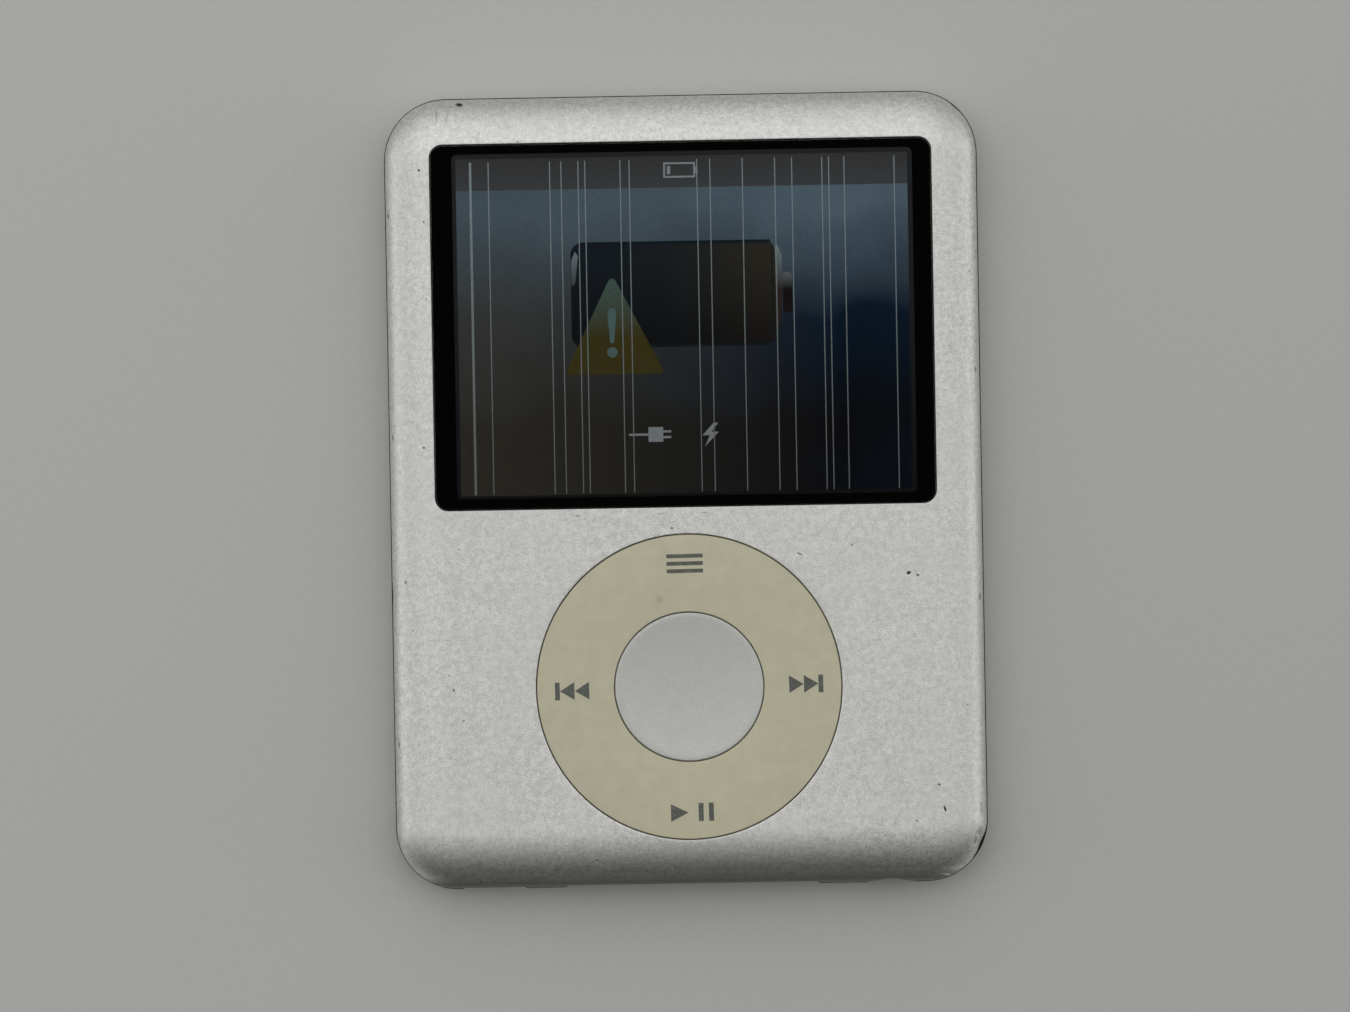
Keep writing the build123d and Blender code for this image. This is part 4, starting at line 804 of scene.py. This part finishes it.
def socket_loops(gap):
    """The three openings in the bottom edge as (x, z) loops in mm: dock, jack and hold switch."""
    low, high = (corner[[0, 2]] for corner in box_mm("dock_connector_shell"))
    dock = rounded_loop(*((high - low) / 2 + gap), 0.45, (low + high) / 2, 4, 6)
    jack = next(mount for mount in frame["record"]["mounts"] if mount["name"] == "headphone_jack")
    jack_x, _, jack_z = np.array(jack["pos_m"]) / MM
    jack_loop = circle_loop(jack_x, jack_z, jack["dims"]["r_mm"] + JACK_NOSE_WALL + gap, 48)
    low, high = (corner[[0, 2]] for corner in box_mm("hold_slider"))
    travel = next(joint for joint in frame["joints"] if joint["name"] == "hold_slide")["range_m"][1] / MM
    middle = (low + high) / 2 - np.array([travel / 2, 0])
    hold = rounded_loop(HOLD_HALF_WIDTH, HOLD_HALF_HEIGHT, HOLD_CORNER, middle, 3, 6)
    return dock, jack_loop, hold


class AUDIOPLAYER_OT_front_shell(bpy.types.Operator):
    """Build the blasted aluminium front shell with its window, wheel and socket openings"""
    bl_idname = "audioplayer.front_shell"
    bl_label = "Front Shell"

    def execute(self, context):
        sizes, colours = context.scene.player_sizes, context.scene.player_colours
        split = split_line()
        half_window = (LENS_HIGH[:2] - LENS_LOW[:2]) / 2 - sizes.lens_flange
        wheel_hole = WHEEL_HIGH[0] - WHEEL_CENTRE[0] - sizes.wheel_flange + sizes.wheel_gap

        def window(grow, loop):
            return opening_loop(half_window[0] + grow, half_window[1] + grow, sizes.window_corner + grow,
                                WINDOW_CENTRE[1] - split)

        def wheel(grow, loop):
            return round_opening(loop, wheel_hole + grow, split - WHEEL_CENTRE[1])

        surfaces = shell_half(1, SHELL_HIGH[1] - split, sizes, window)
        surfaces += shell_half(-1, split - SHELL_LOW[1], sizes, wheel)
        piece = make_piece("front_shell_skin", surfaces, shell_material(tuple(colours.shell)), "case",
                           ("front_shell",))
        for loop in socket_loops(sizes.socket_gap):
            cut_opening(piece, loop, SHELL_LOW[1])
        return {"FINISHED"}


class AUDIOPLAYER_OT_rear_cover(bpy.types.Operator):
    """Build the polished steel rear cover, a shallow pan with rolled edges"""
    bl_idname = "audioplayer.rear_cover"
    bl_label = "Rear Cover"

    def execute(self, context):
        sizes, colours = context.scene.player_sizes, context.scene.player_colours
        half_x, half_y, rim, wall = REAR_HIGH[0], REAR_HIGH[1], REAR_HIGH[2], sizes.rear_wall
        width, depth, soft = sizes.rear_roll_width, sizes.rear_roll_depth, REAR_RIM_ROUNDING

        def ring_at(inset, height):
            """The outline drawn in by inset, at a height."""
            loop = rounded_loop(half_x - inset, half_y - inset, sizes.rear_corner - inset, (0, 0), 60, 28)
            return np.insert(loop, 2, height, axis=1)

        outside = [ring_at(wall, rim)]
        outside += [ring_at(soft * (1 - sin(a)), rim - soft * (1 - cos(a))) for a in np.radians((0, 30, 60, 90))]
        outside.append(ring_at(0, depth))
        turn = np.radians(np.linspace(0, 90, 26))
        outside += [ring_at(width * (1 - cos(a)), depth * (1 - sin(a))) for a in turn[1:]]
        inside = [ring_at(wall, rim), ring_at(wall, depth)]
        width, depth = width - wall, depth - wall
        inside += [ring_at(wall + width * (1 - cos(a)), wall + depth * (1 - sin(a))) for a in turn[3::3]]
        surfaces = [sheet_surface(closed_columns(np.stack(rows))) for rows in (outside, inside)]
        piece = make_piece("rear_cover_skin", surfaces, polished_material(tuple(colours.rear)), "case",
                           ("rear_cover",), caps=(outside[-1], inside[-1]))
        for loop in socket_loops(sizes.socket_gap):
            cut_opening(piece, loop, REAR_LOW[1])
        return {"FINISHED"}


# ---- window and screen ----
def raised_piece(name, loops, levels, material, body="case"):
    """Flat plates with the given outlines, from the lower to the upper level, as one piece."""
    plates = [prism(np.array(loop, float), *levels) for loop in loops]
    return make_piece(name, [plate[0] for plate in plates], material, body,
                      caps=[end for plate in plates for end in plate[1]])


def box_loop(x_low, x_high, y_low, y_high):
    """A rectangle's outline."""
    return [(x_low, y_low), (x_high, y_low), (x_high, y_high), (x_low, y_high)]


# Sizes of the screen picture, in mm.
FILM_RIM = 0.15
PICTURE_GAP = 0.02
LIT_LOW_INSET, LIT_HIGH_INSET = (0.35, 0.25), (0.42, 0.42)
STATUS_BAR_DROP = 3.2
# Columns of the display that have failed and stay lit: x, and how far they reach to each side, in mm.
STUCK_COLUMNS = ((-18.5, 0.095, 0.115), *((x, 0.045, 0.045) for x in (
    -16.9, -11.5, -10.5, -9.0, -8.4, -5.3, -4.5, 1.45, 2.6, 5.45, 8.3, 9.8, 12.45, 13.05, 14.4, 18.8)))


class AUDIOPLAYER_OT_window(bpy.types.Operator):
    """Finish the clear window and the black mask behind it"""
    bl_idname = "audioplayer.window"
    bl_label = "Window"

    def execute(self, context):
        for node, material in (("window_lens", lens_material()), ("window_mask", mask_material())):
            cover_node(node, material)
        return {"FINISHED"}


class AUDIOPLAYER_OT_picture(bpy.types.Operator):
    """Build the dim screen picture: an empty battery, a warning sign and failed columns"""
    bl_idname = "audioplayer.picture"
    bl_label = "Screen Picture"

    def execute(self, context):
        sizes, colours = context.scene.player_sizes, context.scene.player_colours
        film_low, film_high = box_mm("lcd_polariser")
        view_low, view_high = film_low[:2] + FILM_RIM, film_high[:2] - FILM_RIM
        base, step = film_high[2] + PICTURE_GAP, sizes.picture_lift
        lit_low, lit_high = view_low + np.array(LIT_LOW_INSET), view_high - np.array(LIT_HIGH_INSET)
        bar_foot = view_high[1] - STATUS_BAR_DROP

        def layer(index):
            """Bottom and top of one layer of the picture."""
            return base + index * step, base + (index + 1) * step

        surround = glow_material("screen_edge", (0.003, 0.003, 0.0035), (0.012, 0.013, 0.014), view_low[1],
                                 view_high[1])
        loop = rounded_loop(*(view_high - view_low) / 2, 0.4, (view_low + view_high) / 2, 2, 6)
        raised_piece("screen_surround", [loop], layer(0), surround)
        loop = rounded_loop(*(lit_high - lit_low) / 2, 0.05, (lit_low + lit_high) / 2, 2, 2)
        raised_piece("screen_background", [loop], layer(1), picture_material())
        bar = glow_material("status_bar", (0.036, 0.038, 0.040), (0.028, 0.028, 0.028), bar_foot, lit_high[1])
        raised_piece("status_bar", [box_loop(lit_low[0], lit_high[0], bar_foot, lit_high[1])], layer(2), bar)
        self.battery_picture(layer)
        self.warning_sign(layer, tuple(colours.warning))
        self.pictograms(layer)
        streak = glow_material("stuck_columns", (0.092, 0.096, 0.093), (0.15, 0.18, 0.19), 4.0, 26.0, 0.15)
        foot, top = lit_low[1] + 0.1, lit_high[1] - 0.3
        columns = [box_loop(x - left, x + right, foot, top) for x, left, right in STUCK_COLUMNS]
        raised_piece("stuck_columns", columns, layer(9), streak)
        return {"FINISHED"}

    def battery_picture(self, layer):
        """An empty cell lying on its side: dark barrel with a soft sheen, pale glints on its ends, and its terminal."""
        raised_piece("cell_barrel", [rounded_loop(9.0, 4.65, 1.1, (-0.8, 17.35), 6, 8)], layer(3), barrel_material())
        rings = glow_material("cell_rings", (0.018, 0.010, 0.008), (0.11, 0.14, 0.15), 17.5, 21.3)
        near = [(-9.75, 18.1), (-9.4, 18.4), (-9.15, 20.8), (-9.4, 21.2), (-9.75, 20.4)]
        far = [(8.2, 13.6), (8.62, 14.8), (8.85, 18.2), (8.8, 20.6), (8.4, 21.5), (8.2, 21.3)]
        raised_piece("cell_rings", [near, far], layer(5), rings)
        brim = glow_material("cell_brim", (0.0021, 0.0075, 0.0097), (0.0023, 0.0080, 0.0102), 21.0, 22.0)
        strips = [(-8.6, 7.8, 21.70, 21.98), (7.9, 8.0, 13.4, 21.6), (-8.4, 7.6, 12.78, 12.92)]
        raised_piece("cell_brim", [box_loop(*strip) for strip in strips], layer(4), brim)
        terminal = glow_material("cell_terminal", (0.0040, 0.0028, 0.0022), (0.075, 0.085, 0.088), 17.6, 19.1)
        raised_piece("cell_terminal", [rounded_loop(0.42, 1.8, 0.3, (9.25, 17.3), 3, 4)], layer(3), terminal)

    def warning_sign(self, layer, warning):
        """A rounded triangle with an upright stroke and a dot, pale at its tip."""
        corners, radius, loop = np.array([(-10.5, 10.35), (-1.6, 10.35), (-6.2, 19.2)]), 0.35, []
        for index, corner in enumerate(corners):
            before, after = corners[index - 1] - corner, corners[(index + 1) % 3] - corner
            before, after = before / np.hypot(*before), after / np.hypot(*after)
            half = np.arccos(np.dot(before, after)) / 2
            middle = (before + after) / np.hypot(*(before + after))
            centre = corner + middle * radius / sin(half)
            first, last = corner + before * radius / np.tan(half), corner + after * radius / np.tan(half)
            begin, end = atan2(*(first - centre)[::-1]), atan2(*(last - centre)[::-1])
            if end < begin:
                end += 2 * pi
            turn = np.linspace(begin, end, 7)
            loop.append(centre + radius * np.stack([np.cos(turn), np.sin(turn)], axis=1))
        sign = glow_material("warning_sign", warning, (0.040, 0.066, 0.058), 13.6, 18.2, 0.10)
        raised_piece("warning_sign", [np.concatenate(loop)], layer(6), sign)
        pale = glow_material("warning_stroke", (0.050, 0.082, 0.076), (0.050, 0.090, 0.085), 11.5, 16.5, 0.10)
        stroke = [(-6.42, 13.1), (-6.08, 13.1), (-5.86, 15.7), (-6.02, 16.15), (-6.48, 16.15), (-6.64, 15.7)]
        raised_piece("warning_stroke", [stroke, circle_loop(-6.25, 12.28, 0.46, 24)], layer(7), pale)

    def pictograms(self, layer):
        """A small empty-cell outline in the status bar, and a plug with a bolt on the message line."""
        ink = glow_material("pictograms", (0.14, 0.15, 0.155), (0.17, 0.18, 0.19), 4.0, 29.0, 0.12)
        thick, left, right, low, high = 0.16, -1.5, 1.3, 27.55, 28.9
        outline = [
            (left, right, low, low + thick), (left, right, high - thick, high),
            (left, left + thick, low + thick, high - thick), (right - thick, right, low + thick, high - thick),
            (right, right + 0.22, 27.95, 28.5), (left + 0.32, left + 0.62, low + 0.32, high - 0.32),
        ]
        plug = [(-3.2, -1.9, 4.35, 5.65), (-1.9, -1.2, 4.65, 4.85), (-1.9, -1.2, 5.15, 5.35), (-4.9, -3.2, 4.9, 5.1)]
        bolt = [(2.95, 5.95), (2.35, 5.15), (3.0, 5.15), (1.75, 3.85), (2.2, 4.85), (1.55, 4.85), (2.55, 5.95)]
        raised_piece("screen_pictograms", [box_loop(*bar) for bar in outline + plug] + [bolt], layer(7), ink)


def cover_node(node, material):
    """Gives a CAD node its finish."""
    slots = frame["nodes"][node].data.materials
    slots.clear()
    slots.append(material)


# ---- wheel and button ----
# Hidden parts of the wheel and the button, in mm.
WHEEL_FLANGE_THICK, BUTTON_FLANGE_THICK = 0.3, 0.23
LEDGE_DROP, UNDERCUT_ROOM = 0.8, 0.2
PRINT_TURN = 0.6  # degrees


class AUDIOPLAYER_OT_wheel(bpy.types.Operator):
    """Build the ivory touch wheel ring with its softly rounded edges"""
    bl_idname = "audioplayer.wheel"
    bl_label = "Touch Wheel"

    def execute(self, context):
        sizes, colours = context.scene.player_sizes, context.scene.player_colours
        flange_outer = WHEEL_HIGH[0] - WHEEL_CENTRE[0]
        outer = flange_outer - sizes.wheel_flange
        inner = BUTTON_HIGH[0] - WHEEL_CENTRE[0] - sizes.button_flange + sizes.button_gap
        top, low, edge = WHEEL_HIGH[2], WHEEL_LOW[2], sizes.wheel_edge
        flange_top, ledge = low + WHEEL_FLANGE_THICK, BUTTON_HIGH[2] - LEDGE_DROP
        undercut = inner + sizes.button_flange + UNDERCUT_ROOM
        profile = np.concatenate([
            [(inner, ledge)],
            arc(inner + edge, top - edge, edge, edge, 180, 90, 6),
            arc(outer - edge, top - edge, edge, edge, 90, 0, 6),
            [(outer, flange_top), (flange_outer, flange_top), (flange_outer, low), (undercut, low), (undercut, ledge)],
        ])
        make_piece("wheel_ring", [turned_surface(profile, WHEEL_CENTRE, 256)], ivory_material(tuple(colours.wheel)),
                   "wheel", ("wheel_cap",))
        return {"FINISHED"}


class AUDIOPLAYER_OT_centre_button(bpy.types.Operator):
    """Build the grey centre button with a very shallow dish"""
    bl_idname = "audioplayer.centre_button"
    bl_label = "Centre Button"

    def execute(self, context):
        sizes, colours = context.scene.player_sizes, context.scene.player_colours
        radius = BUTTON_HIGH[0] - WHEEL_CENTRE[0] - sizes.button_flange
        top, low, edge = BUTTON_HIGH[2], BUTTON_LOW[2], sizes.wheel_edge
        flange, flange_top, flat = radius + sizes.button_flange, low + BUTTON_FLANGE_THICK, radius - edge
        run = np.linspace(0, 1, 17)
        dish = np.stack([flat * run, top - sizes.button_dish * (1 - run ** 2)], axis=1)
        profile = np.concatenate([
            dish[:-1], arc(flat, top - edge, edge, edge, 90, 0, 6),
            [(radius, flange_top), (flange, flange_top), (flange, low), (0.0, low)],
        ])
        make_piece("centre_button_cap", [turned_surface(profile, WHEEL_CENTRE, 192)],
                   button_material(tuple(colours.button)), "button", ("centre_button",))
        return {"FINISHED"}


class AUDIOPLAYER_OT_symbols(bpy.types.Operator):
    """Print the wheel's symbols: a list glyph, skip back, skip on, and play with pause"""
    bl_idname = "audioplayer.symbols"
    bl_label = "Wheel Symbols"

    def execute(self, context):
        sizes, colours = context.scene.player_sizes, context.scene.player_colours
        levels = WHEEL_HIGH[2], WHEEL_HIGH[2] + sizes.print_height
        ink = print_material(tuple(colours.symbols))
        turn = radians(PRINT_TURN)
        turning = np.array([(cos(turn), sin(turn)), (-sin(turn), cos(turn))])

        def stamped(name, shapes):
            """Prints outlines that are given about the wheel's middle, turned with it by a hair."""
            loops = [np.array(shape, float) @ turning + WHEEL_CENTRE for shape in shapes]
            raised_piece(name, loops, levels, ink, "wheel")

        def block(x, y, width, height):
            """A rectangle about (x, y)."""
            return box_loop(x - width / 2, x + width / 2, y - height / 2, y + height / 2)

        def arrow(x, y, width, height, way):
            """A triangle with its flat side at x, pointing way."""
            points = [(x, y - height / 2), (x + way * width, y), (x, y + height / 2)]
            return points if way > 0 else points[::-1]

        tall, long = 1.56, 1.27
        stamped("symbol_list", [block(-0.1, 10.85 + row * 0.66, 3.2, 0.34) for row in (-1, 0, 1)])
        stamped("symbol_skip_back", [block(-11.6, -0.1, 0.42, tall), arrow(-10.1, -0.1, long, tall, -1),
                                     arrow(-8.8, -0.1, long, tall, -1)])
        stamped("symbol_skip_on", [arrow(8.78, -0.02, long, tall, 1), arrow(10.08, -0.02, long, tall, 1),
                                   block(11.57, -0.02, 0.42, tall)])
        stamped("symbol_play_pause", [arrow(-1.92, -11.06, 1.55, 1.55, 1), block(0.74, -11.04, 0.43, 1.6),
                                      block(1.64, -11.04, 0.43, 1.6)])
        return {"FINISHED"}


# ---- everything else ----
# Nodes that have a finish or a piece of their own, and finishes darker than their slot's colour.
SHOWN_NODES = ("front_shell", "rear_cover", "window_lens", "window_mask", "wheel_cap", "centre_button")
SLOT_SHADE = {"jack_white": 0.3}


class AUDIOPLAYER_OT_inner_parts(bpy.types.Operator):
    """Give the sockets, switch and every piece inside its own procedural finish"""
    bl_idname = "audioplayer.inner_parts"
    bl_label = "Sockets and Inner Parts"

    def execute(self, context):
        bases = {row["slot"]: tuple(row["base_color"][:3]) for row in frame["record"]["materials"]}
        made = {"board_green": board_material(bases["board_green"]),
                "display_glass": glass_material("display_glass", bases["display_glass"])}
        for row in frame["record"]["subparts"]:
            node, slot = row["node"], row["material_slot"]
            if node in SHOWN_NODES:
                continue
            if slot not in made:
                made[slot] = hidden_material(slot, shaded(bases[slot], SLOT_SHADE.get(slot, 1.0)), SLOT_FINISH[slot])
            cover_node(node, made[slot])
        return {"FINISHED"}


class AUDIOPLAYER_OT_stage(bpy.types.Operator):
    """Set the pale floor, the soft studio light and the camera overhead"""
    bl_idname = "audioplayer.stage"
    bl_label = "Stage"

    def execute(self, context):
        stage = context.scene.stage_settings
        self.floor(stage)
        self.sky(stage)
        self.key_light(stage.key_power)
        data = bpy.data.cameras.new("camera")
        data.lens, data.sensor_width = stage.camera_lens, SENSOR_WIDTH
        data.clip_start, data.clip_end = 0.01, 20.0
        camera = linked_object("camera", data)
        camera.location = (stage.camera_x, stage.camera_y, stage.camera_height)
        camera.rotation_euler = (stage.camera_tilt, stage.camera_lean, stage.camera_roll)
        context.scene.camera = camera
        context.scene.view_settings.view_transform = "Standard"
        return {"FINISHED"}

    def floor(self, stage):
        """A large flat board with a very faint tooth, and a painted shade that darkens it towards the right and the
        wheel end, standing for the light falling off.
        """
        half = stage.floor_size / 2
        mesh = bpy.data.meshes.new("floor")
        mesh.from_pydata([(-half, -half, 0), (half, -half, 0), (half, half, 0), (-half, half, 0)], [], [(0, 1, 2, 3)])
        board = linked_object("floor", mesh)
        material, tree, place = new_material("pale_board")
        tooth = noise(tree, place, 0.5, 3.0, 0.6)
        pale, dim = shaded(stage.floor, 1.015), shaded(stage.floor, 0.985)
        body = blend_colours(tree, remap(tree, tooth, 0.35, 0.65), dim, pale)
        # Painted shade: the board grows darker along one direction, as if the light fell off across it.
        floor_falloff_shade = add_node(tree, "ShaderNodeVectorMath", {0: place, 1: (0.55, -0.83, 0)},
                         operation="DOT_PRODUCT").outputs["Value"]
        body = blend_colours(tree, remap(tree, floor_falloff_shade, -0.06, 0.06, 0.0, 0.13), body, (0.2, 0.2, 0.2))
        surfaced(material, {"Base Color": body, "Roughness": 0.6, "Specular IOR Level": 0.25,
                            "Normal": bump(tree, tooth, 0.01, 0.3)})
        mesh.materials.append(material)

    def sky(self, stage):
        """Soft light from all round: palest behind the display end, dim overhead and towards the wheel end."""
        world = bpy.data.worlds.new("studio")
        bpy.context.scene.world = world
        world.use_nodes = True
        tree = world.node_tree
        tree.nodes.clear()
        parts = add_node(tree, "ShaderNodeSeparateXYZ", {0: add_node(tree, "ShaderNodeTexCoord").outputs["Generated"]})
        along = remap(tree, parts.outputs["Y"], -1.0, 1.0)
        ramp = add_node(tree, "ShaderNodeValToRGB", {"Fac": along})
        stops = ramp.color_ramp.elements
        while len(stops) < len(SKY_LEVELS):
            stops.new(0.5)
        for stop, (y, light) in zip(stops, SKY_LEVELS):
            stop.position, stop.color = (y + 1) / 2, (light, light, light, 1.0)
        overhead = remap(tree, parts.outputs["Z"], cos(radians(10)), cos(radians(4.5)), 1.0, 0.03)
        level = times(tree, times(tree, ramp.outputs["Color"], overhead), stage.sky_strength)
        sideways = sum_of(tree, "ABSOLUTE", parts.outputs["X"])
        level = times(tree, level, remap(tree, sideways, 0.2, 0.9, 1.0, 0.72))
        level = plus(tree, level, remap(tree, sideways, 0.92, 1.0, 0.0, 0.9))
        glow = add_node(tree, "ShaderNodeBackground", {"Color": (1.0, 1.0, 0.985, 1.0), "Strength": level})
        output = add_node(tree, "ShaderNodeOutputWorld")
        tree.links.new(glow.outputs[0], output.inputs["Surface"])

    def key_light(self, power):
        """A large square soft light that faces the player."""
        data = bpy.data.lights.new("key_light", "AREA")
        data.shape, data.size, data.energy = "SQUARE", KEY_SIZE, power
        lamp = linked_object("key_light", data)
        lamp.location = KEY_PLACE
        lamp.rotation_euler = (-Vector(KEY_PLACE)).to_track_quat("-Z", "Y").to_euler()


KEY_PLACE, KEY_SIZE = (-0.12, 0.42, 0.52), 0.8  # m
SENSOR_WIDTH = 36.0  # mm
# How bright the sky is from the wheel end's horizon (-1) over the top (0) to the display end's horizon (1).
SKY_LEVELS = ((-1.0, 0.01), (-0.75, 0.025), (-0.5, 0.12), (-0.3, 0.36), (-0.12, 0.78), (0.05, 1.10), (0.2, 1.04),
              (0.45, 0.74), (0.7, 0.50), (1.0, 0.34))
STEPS = ("front_shell", "rear_cover", "window", "picture", "wheel", "centre_button", "symbols", "inner_parts", "stage")


class AUDIOPLAYER_PT_panel(bpy.types.Panel):
    """Sizes, colours and the steps that build the player"""
    bl_idname = "AUDIOPLAYER_PT_panel"
    bl_label = "Audio Player"
    bl_space_type = "VIEW_3D"
    bl_region_type = "UI"
    bl_category = "Audio Player"

    def draw(self, context):
        layout = self.layout
        for step in STEPS:
            layout.operator("audioplayer." + step)
        for group in (context.scene.player_sizes, context.scene.player_colours, context.scene.stage_settings):
            column = layout.column(align=True)
            for name in group.bl_rna.properties.keys():
                if name not in ("rna_type", "name"):
                    column.prop(group, name)


CLASSES = (PlayerSizes, PlayerColours, StageSettings, AUDIOPLAYER_OT_front_shell, AUDIOPLAYER_OT_rear_cover,
           AUDIOPLAYER_OT_window, AUDIOPLAYER_OT_picture, AUDIOPLAYER_OT_wheel, AUDIOPLAYER_OT_centre_button,
           AUDIOPLAYER_OT_symbols, AUDIOPLAYER_OT_inner_parts, AUDIOPLAYER_OT_stage, AUDIOPLAYER_PT_panel)


def register():
    for cls in CLASSES:
        bpy.utils.register_class(cls)
    bpy.types.Scene.player_sizes = PointerProperty(type=PlayerSizes)
    bpy.types.Scene.player_colours = PointerProperty(type=PlayerColours)
    bpy.types.Scene.stage_settings = PointerProperty(type=StageSettings)


def unregister():
    del bpy.types.Scene.stage_settings
    del bpy.types.Scene.player_colours
    del bpy.types.Scene.player_sizes
    for cls in reversed(CLASSES):
        bpy.utils.unregister_class(cls)


def main():
    register()
    for step in STEPS:
        getattr(bpy.ops.audioplayer, step)()


if __name__ == "__main__":
    main()
